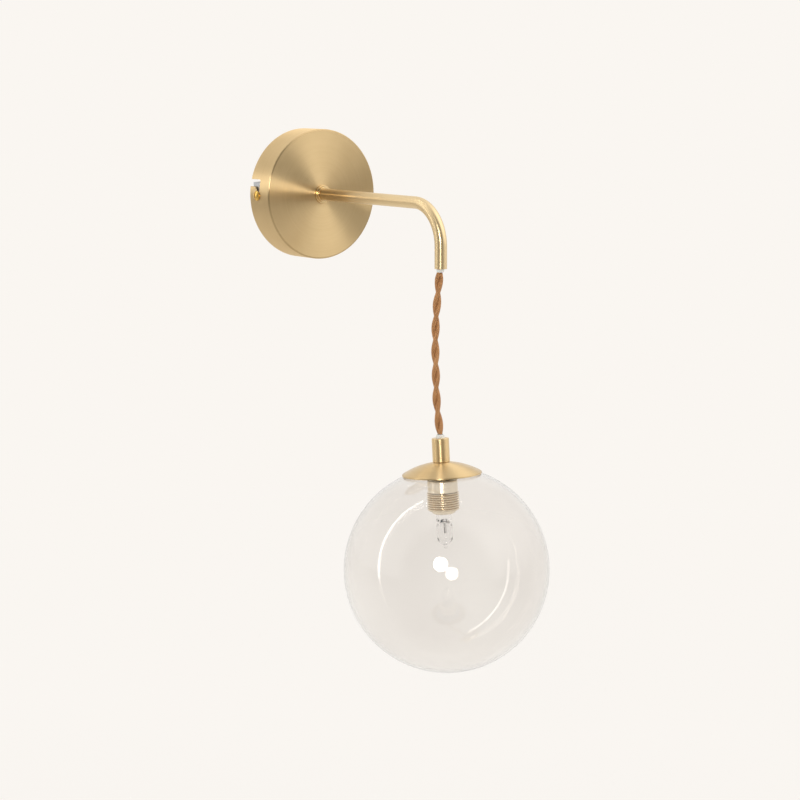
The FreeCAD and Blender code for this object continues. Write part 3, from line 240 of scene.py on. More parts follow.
def make_cord():
    """Two braided strands as one mesh with the braid's own coordinates, and the line that they wind round."""
    line = evenly(cord_line(), CORD_STEP)
    row = STRAND_SIDES + 1
    points, faces, weave = [], [], []
    for strand in (0, 1):
        centres = strand_centres(line, strand)
        start = len(points)
        travelled = 0.0
        for i, (centre, sideways, other) in enumerate(cross_frames(centres)):
            travelled += (centre - centres[i - 1]).length if i else 0.0
            for k in range(row):
                angle = FULL_TURN * k / STRAND_SIDES
                outward = sideways * math.cos(angle) + other * math.sin(angle)
                points.append(centre + outward * STRAND_DIAMETER / 2)
                weave.append((k / STRAND_SIDES, travelled))
        for i in range(len(centres) - 1):
            for k in range(STRAND_SIDES):
                a = start + i * row + k
                faces.append((a, a + 1, a + row + 1, a + row))
    cord = mesh_object("twisted_cord", points, faces)
    layer = cord.data.uv_layers.new(name="weave")
    for loop in cord.data.loops:
        layer.data[loop.index].uv = weave[loop.vertex_index]
    return cord, [point for point, _ in line]


# ---------------------------------------------------------------- the bent arm

ARM_ROOT = -15.0 * MM
THREAD_END = -34.0 * MM  # where the turned-down thread ends, at the collar's top
THREAD_STEP = 0.1 * MM
ARM_MIDWAY = (-80.0 * MM, -125.0 * MM)  # two rows of faces between the collar and the bend
TUBE_RADIUS, THREAD_RADIUS, TUBE_BORE_RADIUS = 5.4 * MM, 5.0 * MM, 4.0 * MM
BEND_STEPS = 32
TUBE_SIDES = 64
MOUTH_EDGE = 0.25 * MM
MOUTH_ROUNDING = ((2.0, 0.0), (1.0, 0.0), (1 / 3, 0.3), (0.0, 1.0))  # height and inset, as shares of the edge


def arm_stations():
    """Points down the arm's centre line from its root, with the tube's direction and radius at each."""
    outward, down = Vector(ALONG_ARM), Vector((0, 0, -1))
    stations = [(Vector((0, place, 0)), outward, THREAD_RADIUS) for place in (ARM_ROOT, THREAD_END)]
    for place in (THREAD_END - THREAD_STEP, *ARM_MIDWAY):
        stations.append((Vector((0, place, 0)), outward, TUBE_RADIUS))
    for step in range(BEND_STEPS + 1):
        turned = math.pi / 2 * step / BEND_STEPS
        from_middle = Vector((0, -math.sin(turned), math.cos(turned)))
        ahead = Vector((0, -math.cos(turned), -math.sin(turned)))
        stations.append((Vector(BEND_MIDDLE) + from_middle * BEND_RADIUS, ahead, TUBE_RADIUS))
    for height, inset in MOUTH_ROUNDING:
        place = MOUTH - down * MOUTH_EDGE * height
        stations.append((place, down, TUBE_RADIUS - MOUTH_EDGE * inset))
    return stations


def make_arm():
    """The bent tube with its turned-down threaded end, as one smooth hollow solid."""
    sideways = Vector((1, 0, 0))
    outer, inner = [], []
    for middle, ahead, radius in arm_stations():
        other = sideways.cross(ahead)
        outer.append(ring(middle, sideways, other, radius, TUBE_SIDES))
        inner.append(ring(middle, sideways, other, TUBE_BORE_RADIUS, TUBE_SIDES))
    return ring_solid("bent_tube", outer + inner[::-1])


# ---------------------------------------------------------------- the lampholder's sleeve

# outlines of (radius, height under the cord grip's top), in millimetres; the ribs go between the two
HOLDER_SHOULDER = [(5.2, -35.8), (7.0, -35.8), (11.9, -36.6), (12.9, -37.2), (13.2, -38.2), (13.2, -47.2)]
HOLDER_LIP = [
    (13.3, -63.6), (11.3, -63.9), (10.9, -64.4), (10.4, -65.5), (9.3, -66.5), (8.7, -66.8), (8.0, -66.8),
    (8.0, -66.4), (10.35, -65.1), (10.35, -37.6), (5.2, -36.6),
]
RIB_ROOT, RIB_CREST = 13.3, 14.3
RIBS_TOP, RIBS_END = -47.6, -63.4
RIB_COUNT = 8
RIB_PITCH = (RIBS_TOP - RIBS_END) / RIB_COUNT
RIB_STEPS = 10
HOLDER_SIDES = 128


def make_holder():
    """The lampholder's plated sleeve: smooth under the cap, then a rolled thread and a lip that turns in."""
    ribs = []
    for step in range(RIB_COUNT * RIB_STEPS + 1):
        swell = (1 - math.cos(FULL_TURN * step / RIB_STEPS)) / 2
        height = RIBS_TOP + (RIBS_END - RIBS_TOP) * step / (RIB_COUNT * RIB_STEPS)
        ribs.append((RIB_ROOT + (RIB_CREST - RIB_ROOT) * swell, height))
    outline = [(radius * MM, height * MM) for radius, height in HOLDER_SHOULDER + ribs + HOLDER_LIP]
    return pendant_lathe("ribbed_sleeve", outline, HOLDER_SIDES)


# ---------------------------------------------------------------- the glass

GLOBE_RADIUS = 90.5 * MM
GLASS_WALL = 2.0 * MM
GLASS_HOLE_RADIUS = 16.0 * MM
GLOBE_BELOW_GRIP_TOP = 116.56 * MM
GLOBE_ROWS = 160
GLOBE_SIDES = 256


def make_globe():
    """The blown globe: two smooth walls that meet at the edge of the hole under the cap."""
    inner = GLOBE_RADIUS - GLASS_WALL
    outline = []
    for radius, rows in ((GLOBE_RADIUS, range(GLOBE_ROWS + 1)), (inner, range(GLOBE_ROWS, -1, -1))):
        start = math.asin(GLASS_HOLE_RADIUS / radius)
        for row in rows:
            angle = start + (math.pi - start) * row / GLOBE_ROWS
            outline.append((radius * math.sin(angle), radius * math.cos(angle) - GLOBE_BELOW_GRIP_TOP))
    return pendant_lathe("blown_globe", outline, GLOBE_SIDES)


# ---------------------------------------------------------------- shader helpers

FLOAT, VECTOR = "NodeSocketFloat", "NodeSocketVector"


def fill_sockets(tree, node, inputs):
    """Link each value that comes from another node, and set the rest on the node's own sockets."""
    for key, value in inputs.items():
        if isinstance(value, bpy.types.NodeSocket):
            tree.links.new(value, node.inputs[key])
        else:
            node.inputs[key].default_value = value


def add_node(tree, kind, inputs=None, **settings):
    node = tree.nodes.new(kind)
    for key, value in settings.items():
        setattr(node, key, value)
    fill_sockets(tree, node, inputs or {})
    return node


def maths(tree, operation, first, second=0.0, third=0.0):
    node = add_node(tree, "ShaderNodeMath", {0: first, 1: second, 2: third}, operation=operation)
    return node.outputs[0]


def vector_maths(tree, operation, first, second=(0.0, 0.0, 0.0)):
    node = add_node(tree, "ShaderNodeVectorMath", {0: first, 1: second}, operation=operation)
    return node.outputs["Value" if operation in ("LENGTH", "DOT_PRODUCT") else "Vector"]


def scaled(tree, vector, factor):
    node = add_node(tree, "ShaderNodeVectorMath", {0: vector, "Scale": factor}, operation="SCALE")
    return node.outputs["Vector"]


def split(tree, vector):
    return add_node(tree, "ShaderNodeSeparateXYZ", {0: vector}).outputs


def combine(tree, **parts):
    """A vector from its X, Y and Z, where those left out are 0."""
    return add_node(tree, "ShaderNodeCombineXYZ", parts).outputs[0]


def spread(tree, value, low, high, to_low=0.0, to_high=1.0):
    """The value brought from one range to another, and held inside it."""
    limits = {"From Min": low, "From Max": high, "To Min": to_low, "To Max": to_high}
    return add_node(tree, "ShaderNodeMapRange", {"Value": value, **limits}).outputs["Result"]


def blend_colours(tree, factor, first, second):
    node = add_node(tree, "ShaderNodeMix", {0: factor}, data_type="RGBA")
    fill_sockets(tree, node, {6: first, 7: second})
    return node.outputs[2]


def noise(tree, place, scale, detail):
    inputs = {"Vector": place, "Scale": scale, "Detail": detail}
    return add_node(tree, "ShaderNodeTexNoise", inputs).outputs["Fac"]


def object_place(tree):
    return add_node(tree, "ShaderNodeTexCoord").outputs["Object"]


def new_finish(name, **settings):
    """A material with a Principled shader whose steady values are set on its own sockets."""
    material = bpy.data.materials.new(name)
    material.use_nodes = True
    tree = material.node_tree
    shader = tree.nodes["Principled BSDF"]
    for key, value in settings.items():
        shader.inputs[key.replace("_", " ")].default_value = value
    return material, tree, shader


def add_relief(tree, shader, height, strength, distance):
    bump = add_node(tree, "ShaderNodeBump", {"Height": height, "Strength": strength, "Distance": distance})
    tree.links.new(bump.outputs["Normal"], shader.inputs["Normal"])


def new_group(name, inputs, outputs):
    """A shader node group. Inputs are (name, kind, default) and outputs are (name, kind)."""
    group = bpy.data.node_groups.new(name, "ShaderNodeTree")
    for title, kind, default in inputs:
        socket = group.interface.new_socket(title, in_out="INPUT", socket_type=kind)
        if default is not None:
            socket.default_value = default
    for title, kind in outputs:
        group.interface.new_socket(title, in_out="OUTPUT", socket_type=kind)
    return group, group.nodes.new("NodeGroupInput"), group.nodes.new("NodeGroupOutput")


def place_group(tree, group, inputs):
    node = tree.nodes.new("ShaderNodeGroup")
    node.node_tree = group
    fill_sockets(tree, node, inputs)
    return node.outputs


# ---------------------------------------------------------------- shared effects


def make_turned_grain():
    """Fine lines that run round an axis, as spinning and lathe polishing leave them."""
    group, given, out = new_group(
        "turned_grain",
        [
            ("Place", VECTOR, None),
            ("Axis Point", VECTOR, None),
            ("Axis", VECTOR, (0, 0, 1)),
            ("Lines per Metre", FLOAT, 4000.0),
            ("Drift", FLOAT, 25.0),
            ("Band Share", FLOAT, 0.07),
        ],
        [("Line", FLOAT), ("Band", FLOAT), ("Radius", FLOAT), ("Height", FLOAT)],
    )
    from_axis = vector_maths(group, "SUBTRACT", given.outputs["Place"], given.outputs["Axis Point"])
    height = vector_maths(group, "DOT_PRODUCT", from_axis, given.outputs["Axis"])
    radial = vector_maths(group, "SUBTRACT", from_axis, scaled(group, given.outputs["Axis"], height))
    radius = vector_maths(group, "LENGTH", radial)
    ruled = combine(
        group,
        X=maths(group, "MULTIPLY", radius, given.outputs["Lines per Metre"]),
        Y=maths(group, "MULTIPLY", height, given.outputs["Lines per Metre"]),
    )
    # a little of the place itself breaks each line up on its way round
    place = vector_maths(group, "ADD", ruled, scaled(group, from_axis, given.outputs["Drift"]))
    line = noise(group, place, 1.0, 2.0)
    band = noise(group, scaled(group, place, given.outputs["Band Share"]), 1.0, 1.0)
    fill_sockets(group, out, {"Line": line, "Band": band, "Radius": radius, "Height": height})
    return group


def make_handling():
    """Soft blotches where lacquer is thicker or hands have been."""
    group, given, out = new_group("handling", [("Place", VECTOR, None)], [("Blotch", FLOAT)])
    blotch = noise(group, given.outputs["Place"], 28.0, 3.0)
    fill_sockets(group, out, {"Blotch": spread(group, blotch, 0.35, 0.7)})
    return group


TURNED_GRAIN = make_turned_grain()
HANDLING = make_handling()


def blotches(tree, place):
    return place_group(tree, HANDLING, {"Place": place})["Blotch"]


# ---------------------------------------------------------------- finishes

# a finish's two colours: what most of it shows, and what its streaks or blotches turn to
BRASS = (0.79, 0.59, 0.32, 1), (0.7, 0.51, 0.26, 1)
ARM_BRASS = (0.8, 0.62, 0.36, 1), (0.74, 0.56, 0.31, 1)
HOLDER_PLATING = (0.88, 0.79, 0.64, 1), (0.84, 0.74, 0.57, 1)
SCREW_BRASS = (0.78, 0.5, 0.13, 1), (0.66, 0.4, 0.09, 1)
ZINC_PLATE = (0.6, 0.62, 0.64, 1), (0.5, 0.5, 0.5, 1)
BRIGHT_STEEL = (0.55, 0.56, 0.57, 1), (0.45, 0.45, 0.45, 1)
BULB_WIRE = (0.4, 0.39, 0.37, 1), (0.25, 0.24, 0.22, 1)
WHITE_PLASTIC = (0.84, 0.83, 0.8, 1), (0.78, 0.77, 0.73, 1)
GLAZED_CERAMIC = (0.82, 0.8, 0.74, 1), (0.76, 0.73, 0.66, 1)
CLEAR_SILICONE = (0.8, 0.8, 0.78, 1), (0.74, 0.74, 0.72, 1)
BROWN_INSULATION = (0.16, 0.06, 0.025, 1), (0.12, 0.045, 0.02, 1)
BLUE_INSULATION = (0.04, 0.13, 0.45, 1), (0.03, 0.1, 0.36, 1)
EARTH_GREEN, EARTH_YELLOW = (0.05, 0.3, 0.06, 1), (0.8, 0.66, 0.05, 1)
GLOBE_GLASS = (0.9, 0.885, 0.87, 1), (0.955, 0.945, 0.93, 1)
CAPSULE_GLASS = (0.97, 0.97, 0.97, 1), (1.0, 1.0, 1.0, 1)
# the braid's painted near-black shade in the gaps between its threads, and the lighter colour of their
# painted rounded backs
BRAID_SHADE, BRAID_THREAD = (0.06, 0.016, 0.004, 1), (0.95, 0.45, 0.16, 1)
BRAID_LOT = (0.85, 0.45, 0.18, 1)  # the thread's other dye lot
BRAID_SHEEN = (0.95, 0.55, 0.25, 1)
# the colour that painted shade darkens a turned metal to
PAINTED_SHADE_BRASS = (0.4, 0.27, 0.13, 1)

QUARTER_TURN = 0.25  # turns a highlight across the polishing lines instead of along them
NOISE_MIDDLE = 0.3, 0.7  # where most of a noise's values lie
STREAK_SHADE, BAND_SHADE, BLOTCH_SHADE = 0.35, 0.15, 0.3  # how far each shifts a turned metal's colour
# how much streaks and blotches roughen a turned metal, and how much its painted shade smooths it
STREAK_ROUGHNESS, BLOTCH_ROUGHNESS, PAINTED_SHADE_ROUGHNESS = 0.07, 0.04, -0.2
ARM_SHADE = 0.3
ARM_LINES = 2000.0  # polishing lines in a metre of the arm
ARM_DRIFT = 60.0  # how much they break up on their way round the tube
# where the backplate's painted dark edge line lies, and how dark it gets: painted shade for the rounded
# edge's dark reflection
EDGE_LINE_RADII = 58.2 * MM, 58.9 * MM
EDGE_LINE_HEIGHTS = 28.9 * MM, 29.6 * MM
EDGE_LINE_STRENGTH = 0.5
# how dark the painted shade in the lampholder's thread grooves gets
GROOVE_STRENGTH = 0.8
STRIPE_WAVE = 2600.0  # radians in a metre
BRAID_LANES = 8.0
BRAID_REPEAT = 12.5 * MM


def point_tangent(tree, shader, around):
    """Hand the shader the direction of the polishing lines at each point."""
    turned = add_node(
        tree, "ShaderNodeVectorTransform", {"Vector": vector_maths(tree, "NORMALIZE", around)},
        vector_type="VECTOR", convert_from="OBJECT", convert_to="WORLD",
    )
    tree.links.new(turned.outputs["Vector"], shader.inputs["Tangent"])


def painted_edge_shade(tree, radius, height):
    """A thin painted dark line where the backplate's face turns into its rim: painted shade standing in for
    the dark reflection of the rounded edge.
    """
    outside = spread(tree, radius, *EDGE_LINE_RADII)
    return maths(tree, "MULTIPLY", outside, spread(tree, height, *EDGE_LINE_HEIGHTS, 0.0, EDGE_LINE_STRENGTH))


def painted_groove_shade(tree, radius, height):
    """Painted shade in the grooves of the lampholder's rolled thread."""
    turns = maths(tree, "DIVIDE", maths(tree, "SUBTRACT", height, RIBS_TOP * MM), RIB_PITCH * MM)
    wave = maths(tree, "COSINE", maths(tree, "MULTIPLY", turns, FULL_TURN))
    under_top = maths(tree, "LESS_THAN", height, RIBS_TOP * MM)
    over_end = maths(tree, "GREATER_THAN", height, RIBS_END * MM)
    among_ribs = maths(tree, "MULTIPLY", under_top, over_end)
    return maths(tree, "MULTIPLY", among_ribs, spread(tree, wave, -0.2, 0.9, 0.0, GROOVE_STRENGTH))


def turned_metal(name, axis_point, axis, colours, roughness, anisotropy, painted_shade=None):
    """Metal with lines round an axis; its highlights spread across the lines."""
    material, tree, shader = new_finish(
        name, Metallic=1.0, Anisotropic=anisotropy, Anisotropic_Rotation=QUARTER_TURN
    )
    place = object_place(tree)
    grain = place_group(tree, TURNED_GRAIN, {"Place": place, "Axis Point": axis_point, "Axis": axis})
    blotch = blotches(tree, place)
    streak = spread(tree, grain["Line"], *NOISE_MIDDLE)
    band = spread(tree, grain["Band"], *NOISE_MIDDLE)
    shade = maths(tree, "MULTIPLY_ADD", streak, STREAK_SHADE, maths(tree, "MULTIPLY", band, BAND_SHADE))
    shade = maths(tree, "MULTIPLY_ADD", blotch, BLOTCH_SHADE, shade)
    tint = blend_colours(tree, shade, *colours)
    rough = maths(tree, "MULTIPLY_ADD", streak, STREAK_ROUGHNESS, roughness)
    # where a mask is given, it paints shade: the colour darkens there and the roughness drops
    if painted_shade:
        painted_dark = painted_shade(tree, grain["Radius"], grain["Height"])
        tint = blend_colours(tree, painted_dark, tint, PAINTED_SHADE_BRASS)
        rough = maths(tree, "MULTIPLY_ADD", painted_dark, PAINTED_SHADE_ROUGHNESS, rough)
    rough = maths(tree, "MULTIPLY_ADD", blotch, BLOTCH_ROUGHNESS, rough)
    fill_sockets(tree, shader, {"Base Color": tint, "Roughness": rough})
    add_relief(tree, shader, grain["Line"], 0.01, 0.1 * MM)
    from_axis = vector_maths(tree, "SUBTRACT", place, axis_point)
    point_tangent(tree, shader, vector_maths(tree, "CROSS_PRODUCT", from_axis, axis))
    return material


def plain_metal(name, colours, roughness):
    """Small plated or drawn parts: an even metal with fine mottling."""
    material, tree, shader = new_finish(name, Metallic=1.0)
    place = object_place(tree)
    mottle = noise(tree, place, 900.0, 3.0)
    tint = blend_colours(tree, blotches(tree, place), *colours)
    rough = maths(tree, "MULTIPLY_ADD", mottle, 0.15, roughness)
    fill_sockets(tree, shader, {"Base Color": tint, "Roughness": rough})
    add_relief(tree, shader, mottle, 0.15, 0.05 * MM)
    return material


def from_arm_centre(tree, place):
    """The way from the arm's centre line to a place on the tube, and the direction of the tube there."""
    parts = split(tree, place)
    past_bend_start = maths(tree, "MAXIMUM", maths(tree, "SUBTRACT", BEND_MIDDLE[1], parts["Y"]), 0.0)
    above_bend_end = maths(tree, "MAXIMUM", maths(tree, "SUBTRACT", parts["Z"], BEND_MIDDLE[2]), 0.0)
    from_bend = combine(tree, Y=maths(tree, "MULTIPLY", past_bend_start, -1.0), Z=above_bend_end)
    out_of_bend = vector_maths(tree, "NORMALIZE", from_bend)
    ahead = vector_maths(tree, "CROSS_PRODUCT", (1.0, 0.0, 0.0), out_of_bend)
    off_centre = maths(tree, "SUBTRACT", vector_maths(tree, "LENGTH", from_bend), BEND_RADIUS)
    lift = scaled(tree, out_of_bend, off_centre)
    return vector_maths(tree, "ADD", lift, combine(tree, X=parts["X"])), ahead


def arm_brass():
    """The arm's satin brass: fine polishing lines round the tube, so that its highlights run along it."""
    material, tree, shader = new_finish(
        "arm_brass", Metallic=1.0, Anisotropic=0.7, Anisotropic_Rotation=QUARTER_TURN
    )
    place = object_place(tree)
    from_centre, ahead = from_arm_centre(tree, place)
    point_tangent(tree, shader, vector_maths(tree, "CROSS_PRODUCT", ahead, from_centre))
    parts = split(tree, place)
    along_tube = maths(tree, "MULTIPLY", maths(tree, "SUBTRACT", parts["Y"], parts["Z"]), ARM_LINES)
    ruled = vector_maths(tree, "ADD", combine(tree, X=along_tube), scaled(tree, from_centre, ARM_DRIFT))
    streak = spread(tree, noise(tree, ruled, 1.0, 2.0), *NOISE_MIDDLE)
    blotch_shade = maths(tree, "MULTIPLY", blotches(tree, place), ARM_SHADE)
    shade = maths(tree, "MULTIPLY_ADD", streak, ARM_SHADE, blotch_shade)
    tint = blend_colours(tree, shade, *ARM_BRASS)
    rough = maths(tree, "MULTIPLY_ADD", streak, 0.02, 0.32)
    fill_sockets(tree, shader, {"Base Color": tint, "Roughness": rough})
    return material


def moulded(name, colours, roughness, subsurface=0.0):
    """Moulded plastic, nylon or glazed ceramic with a faint orange peel."""
    material, tree, shader = new_finish(name, Subsurface_Weight=subsurface, Subsurface_Scale=1.0 * MM)
    place = object_place(tree)
    peel = noise(tree, place, 1500.0, 2.0)
    tint = blend_colours(tree, blotches(tree, place), *colours)
    rough = maths(tree, "MULTIPLY_ADD", peel, 0.12, roughness)
    fill_sockets(tree, shader, {"Base Color": tint, "Roughness": rough})
    add_relief(tree, shader, peel, 0.1, 0.05 * MM)
    return material


def clear_glass(name, colours):
    """Clear blown glass, a little darker where it is thicker, with a slow waviness."""
    material, tree, shader = new_finish(name, Transmission_Weight=1.0, IOR=1.5, Roughness=0.0)
    place = object_place(tree)
    thickness = spread(tree, noise(tree, place, 9.0, 1.0), 0.35, 0.65)
    fill_sockets(tree, shader, {"Base Color": blend_colours(tree, thickness, *colours)})
    add_relief(tree, shader, noise(tree, place, 14.0, 1.0), 0.05, 2.0 * MM)
    return material


def thread_back(tree, lane):
    """The rounded back of one lane of the braid."""
    return maths(tree, "POWER", maths(tree, "SINE", maths(tree, "MULTIPLY", lane, math.pi)), 2.0)


def braid():
    """The textile braid of one strand: diagonal threads over and under, copper brown with a sheen, with
    painted shade in the gaps between the threads and a painted lighter colour on their rounded backs.
    """
    material, tree, shader = new_finish(
        "cord_braid", Roughness=0.55, Sheen_Weight=0.15, Sheen_Roughness=0.4, Sheen_Tint=BRAID_SHEEN
    )
    weave = split(tree, add_node(tree, "ShaderNodeUVMap", uv_map="weave").outputs[0])
    around = maths(tree, "MULTIPLY", weave["X"], BRAID_LANES)
    along = maths(tree, "MULTIPLY", weave["Y"], BRAID_LANES / BRAID_REPEAT)
    rising = maths(tree, "ADD", around, along)
    falling = maths(tree, "SUBTRACT", around, along)
    crossings = maths(tree, "ADD", maths(tree, "FLOOR", rising), maths(tree, "FLOOR", falling))
    over = maths(tree, "ABSOLUTE", maths(tree, "MODULO", crossings, 2.0))
    backs = {2: thread_back(tree, rising), 3: thread_back(tree, falling)}
    height = add_node(tree, "ShaderNodeMix", {0: over, **backs}, data_type="FLOAT").outputs[0]
    place = object_place(tree)
    fibre = noise(tree, place, 2500.0, 3.0)
    # the colour runs from painted shade in the gaps to painted light on the threads' rounded backs
    shade = maths(tree, "MULTIPLY_ADD", fibre, 0.2, maths(tree, "MULTIPLY", height, 0.8))
    colour = blend_colours(tree, spread(tree, shade, 0.3, 0.8), BRAID_SHADE, BRAID_THREAD)
    lot = spread(tree, noise(tree, place, 120.0, 2.0), 0.4, 0.7, 0.0, 0.2)
    fill_sockets(tree, shader, {"Base Color": blend_colours(tree, lot, colour, BRAID_LOT)})
    add_relief(tree, shader, maths(tree, "MULTIPLY_ADD", fibre, 0.25, height), 0.8, 0.3 * MM)
    return material


def striped_lead():
    """Green insulation with yellow stripes."""
    material, tree, shader = new_finish("earth_insulation", Roughness=0.45)
    height = split(tree, object_place(tree))["Z"]
    wave = maths(tree, "SINE", maths(tree, "MULTIPLY", height, STRIPE_WAVE))
    colour = blend_colours(tree, spread(tree, wave, -0.1, 0.1), EARTH_GREEN, EARTH_YELLOW)
    fill_sockets(tree, shader, {"Base Color": colour})
    return material


# ---------------------------------------------------------------- stage and light

CREAM = (0.956, 0.922, 0.88, 1)
ROOM_LIGHT = (0.95, 0.94, 0.925, 1)
ROOM_TOP_LIGHT = 1.1
DIM_SIDE = (-0.605, -0.754, 0.256)  # the direction of the unlit side of the studio
DIM_EDGE, DIM_LIGHT = (0.56, 0.72), 0.25  # the cosines between which it darkens, and its light
BRIGHT_CEILING = (0.6, -0.45, 0.66)  # the direction of the part of its ceiling above a lamp
CEILING_EDGE, CEILING_LIGHT = (0.7, 0.97), 0.8  # the cosines between which it brightens, and what it adds
FLOOR_HEIGHT = -0.62
FLOOR_HALF = 30.0
FLOOR_DARK, FLOOR_LIT = (0.36, 0.35, 0.34, 1), (0.84, 0.83, 0.81, 1)
FLOOR_LIT_SIDE, FLOOR_LIT_RANGE = (0.75, 0.66, 0.0), (-1.3, 0.3)  # FLOOR_LIT_SIDE, FLOOR_LIT_RANGE = (0.75, 0.66, 0.0), (-1.3, 0.3) # its painted shade lightens that way, over these metres
SHADOW_SHARE = 0.08  # how much of the floor's own light and shadow shows under the lamp
SHADOW_REACH = 0.6, 1.6  # and the distances over which that fades
LAMP_COLOUR = (1.0, 0.985, 0.965)
LAMP_AIM = Vector((0.0, -0.15, -0.2))


def seen_directly(tree):
    """1 for rays from the camera or through glass, and 0 for those that light the part or mirror the room."""
    rays = tree.nodes.new("ShaderNodeLightPath")
    return maths(tree, "MAXIMUM", rays.outputs["Is Camera Ray"], rays.outputs["Is Transmission Ray"])


def make_world():
    """A cream studio: an even background, and for reflections a room that is dim where the camera stands."""
    world = bpy.data.worlds.new("studio")
    world.use_nodes = True
    bpy.context.scene.world = world
    tree = world.node_tree
    tree.nodes.clear()
    out = tree.nodes.new("ShaderNodeOutputWorld")
    direction = add_node(tree, "ShaderNodeTexCoord").outputs["Generated"]
    room = spread(tree, split(tree, direction)["Z"], 0.0, 0.9, 1.0, ROOM_TOP_LIGHT)
    behind_camera = vector_maths(tree, "DOT_PRODUCT", direction, DIM_SIDE)
    room = maths(tree, "MULTIPLY", room, spread(tree, behind_camera, *DIM_EDGE, 1.0, DIM_LIGHT))
    ceiling = vector_maths(tree, "DOT_PRODUCT", direction, BRIGHT_CEILING)
    room = maths(tree, "ADD", room, spread(tree, ceiling, *CEILING_EDGE, 0.0, CEILING_LIGHT))
    even = add_node(tree, "ShaderNodeBackground", {"Color": CREAM, "Strength": 1.0})
    soft = add_node(tree, "ShaderNodeBackground", {"Color": ROOM_LIGHT, "Strength": room})
    shaders = {1: soft.outputs[0], 2: even.outputs[0]}
    mixed = add_node(tree, "ShaderNodeMixShader", {0: seen_directly(tree), **shaders})
    tree.links.new(mixed.outputs[0], out.inputs["Surface"])


def floor_finish():
    """A floor of the background's own colour, with a trace of its shadow near the lamp. Under it, for
    reflections, lies a matt colour with painted shade, darker away from the lamps' side.
    """
    material = bpy.data.materials.new("studio_floor")
    material.use_nodes = True
    tree = material.node_tree
    tree.nodes.clear()
    out = tree.nodes.new("ShaderNodeOutputMaterial")
    even = add_node(tree, "ShaderNodeEmission", {"Color": CREAM, "Strength": 1.0})
    place = object_place(tree)
    # painted shade: the matt colour darkens away from the lamps' side
    lit = spread(tree, vector_maths(tree, "DOT_PRODUCT", place, FLOOR_LIT_SIDE), *FLOOR_LIT_RANGE)
    matt = add_node(tree, "ShaderNodeBsdfDiffuse", {"Color": blend_colours(tree, lit, FLOOR_DARK, FLOOR_LIT)})
    near = spread(tree, vector_maths(tree, "LENGTH", place), *SHADOW_REACH, SHADOW_SHARE, 0.0)
    shown = maths(tree, "MULTIPLY", seen_directly(tree), maths(tree, "SUBTRACT", 1.0, near))
    mixed = add_node(tree, "ShaderNodeMixShader", {0: shown, 1: matt.outputs[0], 2: even.outputs[0]})
    tree.links.new(mixed.outputs[0], out.inputs["Surface"])
    return material


def make_floor():
    signs = ((-1, -1), (1, -1), (1, 1), (-1, 1))
    corners = [(x * FLOOR_HALF, y * FLOOR_HALF, FLOOR_HEIGHT) for x, y in signs]
    floor = mesh_object("floor", corners, [(0, 1, 2, 3)], smooth=False)
    floor.data.materials.append(floor_finish())


def area_lamp(name, place, along, power, size, length=None):
    """A lamp that faces the part: round, or with a length a rectangle whose longer side points along."""
    lamp = bpy.data.lights.new(name, "AREA")
    lamp.shape = "DISK" if length is None else "RECTANGLE"
    lamp.size = size
    if length is not None:
        lamp.size_y = length
    lamp.energy = power
    lamp.color = LAMP_COLOUR
    made = bpy.data.objects.new(name, lamp)
    away = (place - LAMP_AIM).normalized()
    upright = (along - away * along.dot(away)).normalized()
    turn = Matrix((upright.cross(away), upright, away)).transposed().to_4x4()
    made.matrix_world = Matrix.Translation(place) @ turn
    bpy.context.scene.collection.objects.link(made)


def make_lamps():
    """A round lamp beside the camera, and a long narrow one that leans on the left, behind the wall plane."""
    area_lamp("round_key", Vector((-1.539, -1.724, 0.46)), Vector((0, 0, 1)), power=18.0, size=0.63)
    leaning = Vector((1.3, -0.03, 2.49))
    area_lamp("side_strip", Vector((-1.13, 0.64, 0.63)), leaning, power=3.2, size=0.08, length=2.8)


# ---------------------------------------------------------------- putting it together


def add_cord():
    cord, line = make_cord()
    cord.data.materials.append(braid())
    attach(cord, "cord")
    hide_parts("cord")


def add_globe():
    globe = make_globe()
    globe.data.materials.append(clear_glass("clear_glass", GLOBE_GLASS))
    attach(globe, "pendant")
    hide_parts("glass_globe")


def add_arm():
    arm = make_arm()
    arm.data.materials.append(arm_brass())
    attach(arm, "arm")
    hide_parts("arm_tube")


def pendant_metal(name, colours, roughness, anisotropy, painted_shade=None):
    """Metal that was turned about the pendant's own axis."""
    return turned_metal(name, tuple(PENDANT_TOP), tuple(PENDANT_UP), colours, roughness, anisotropy, painted_shade)


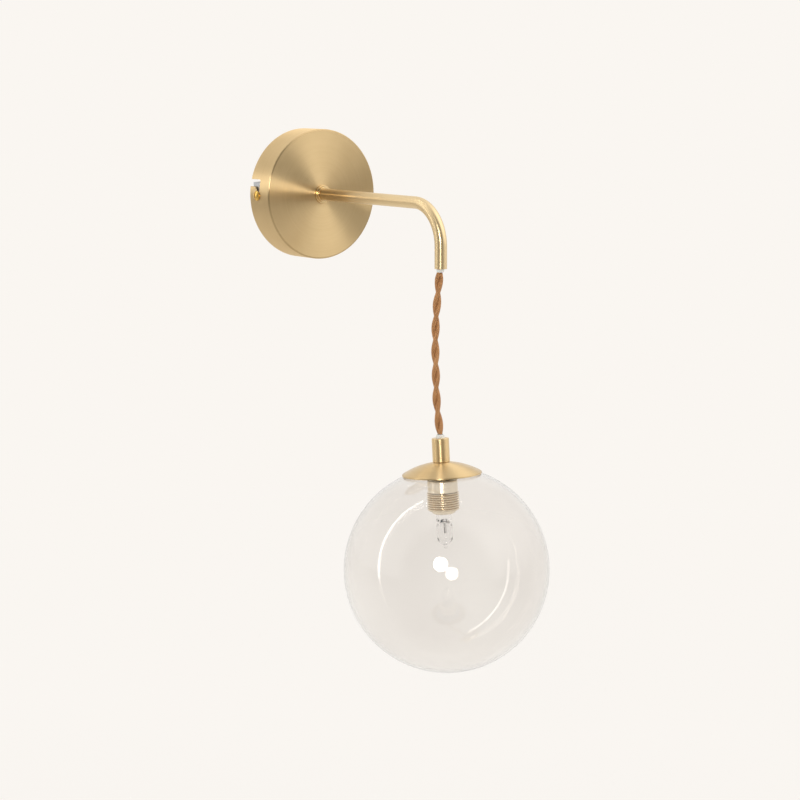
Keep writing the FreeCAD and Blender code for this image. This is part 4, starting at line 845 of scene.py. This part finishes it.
def add_holder():
    sleeve = make_holder()
    sleeve.data.materials.append(pendant_metal("holder_plating", HOLDER_PLATING, 0.25, 0.2, painted_groove_shade))
    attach(sleeve, "pendant")
    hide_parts("holder_shell")


def paint(material, *nodes):
    for node in nodes:
        slots = NODES[node].data.materials
        slots.clear()
        slots.append(material)
        NODES[node].data.shade_smooth()


def paint_nodes():
    """Give each CAD node that stays in the picture its finish."""
    paint(turned_metal("plate_brass", ORIGIN, ALONG_ARM, BRASS, 0.36, 1.0, painted_edge_shade), "backplate_cup")
    paint(turned_metal("collar_brass", ORIGIN, ALONG_ARM, BRASS, 0.2, 0.4), "arm_collar", "arm_lock_nut")
    paint(pendant_metal("cap_brass", BRASS, 0.36, 1.0), "pendant_cap")
    paint(pendant_metal("grip_brass", BRASS, 0.3, 0.8), "cord_grip")
    paint(
        plain_metal("screw_brass", SCREW_BRASS, 0.18),
        "side_screws", "block_terminals", "keeper_nut",
    )
    paint(
        plain_metal("zinc_plate", ZINC_PLATE, 0.3),
        "wall_bracket", "arm_lock_washer", "pendant_nipple", "glass_keeper",
    )
    paint(
        plain_metal("bright_steel", BRIGHT_STEEL, 0.22),
        "bracket_earth_screw", "grip_screw", "earth_ring_tag", "holder_contacts",
    )
    paint(plain_metal("bulb_wire", BULB_WIRE, 0.3), "bulb_pins", "filament_posts", "bulb_filament")
    paint(
        moulded("white_plastic", WHITE_PLASTIC, 0.35, subsurface=0.1),
        "mouth_sleeve", "grip_insert", "terminal_block",
    )
    paint(moulded("glazed_ceramic", GLAZED_CERAMIC, 0.15, subsurface=0.1), "holder_ceramic")
    paint(moulded("clear_silicone", CLEAR_SILICONE, 0.3, subsurface=0.3), "glass_gasket")
    paint(moulded("brown_insulation", BROWN_INSULATION, 0.35), "live_lead", "live_core", "cord_in_arm")
    paint(moulded("blue_insulation", BLUE_INSULATION, 0.35), "neutral_lead", "neutral_core")
    paint(striped_lead(), "earth_lead")
    paint(clear_glass("capsule_glass", CAPSULE_GLASS), "bulb_glass")


add_cord()
add_globe()
add_arm()
add_holder()
paint_nodes()
make_world()
make_floor()
make_lamps()

scene = bpy.context.scene
scene.view_settings.view_transform = "Standard"
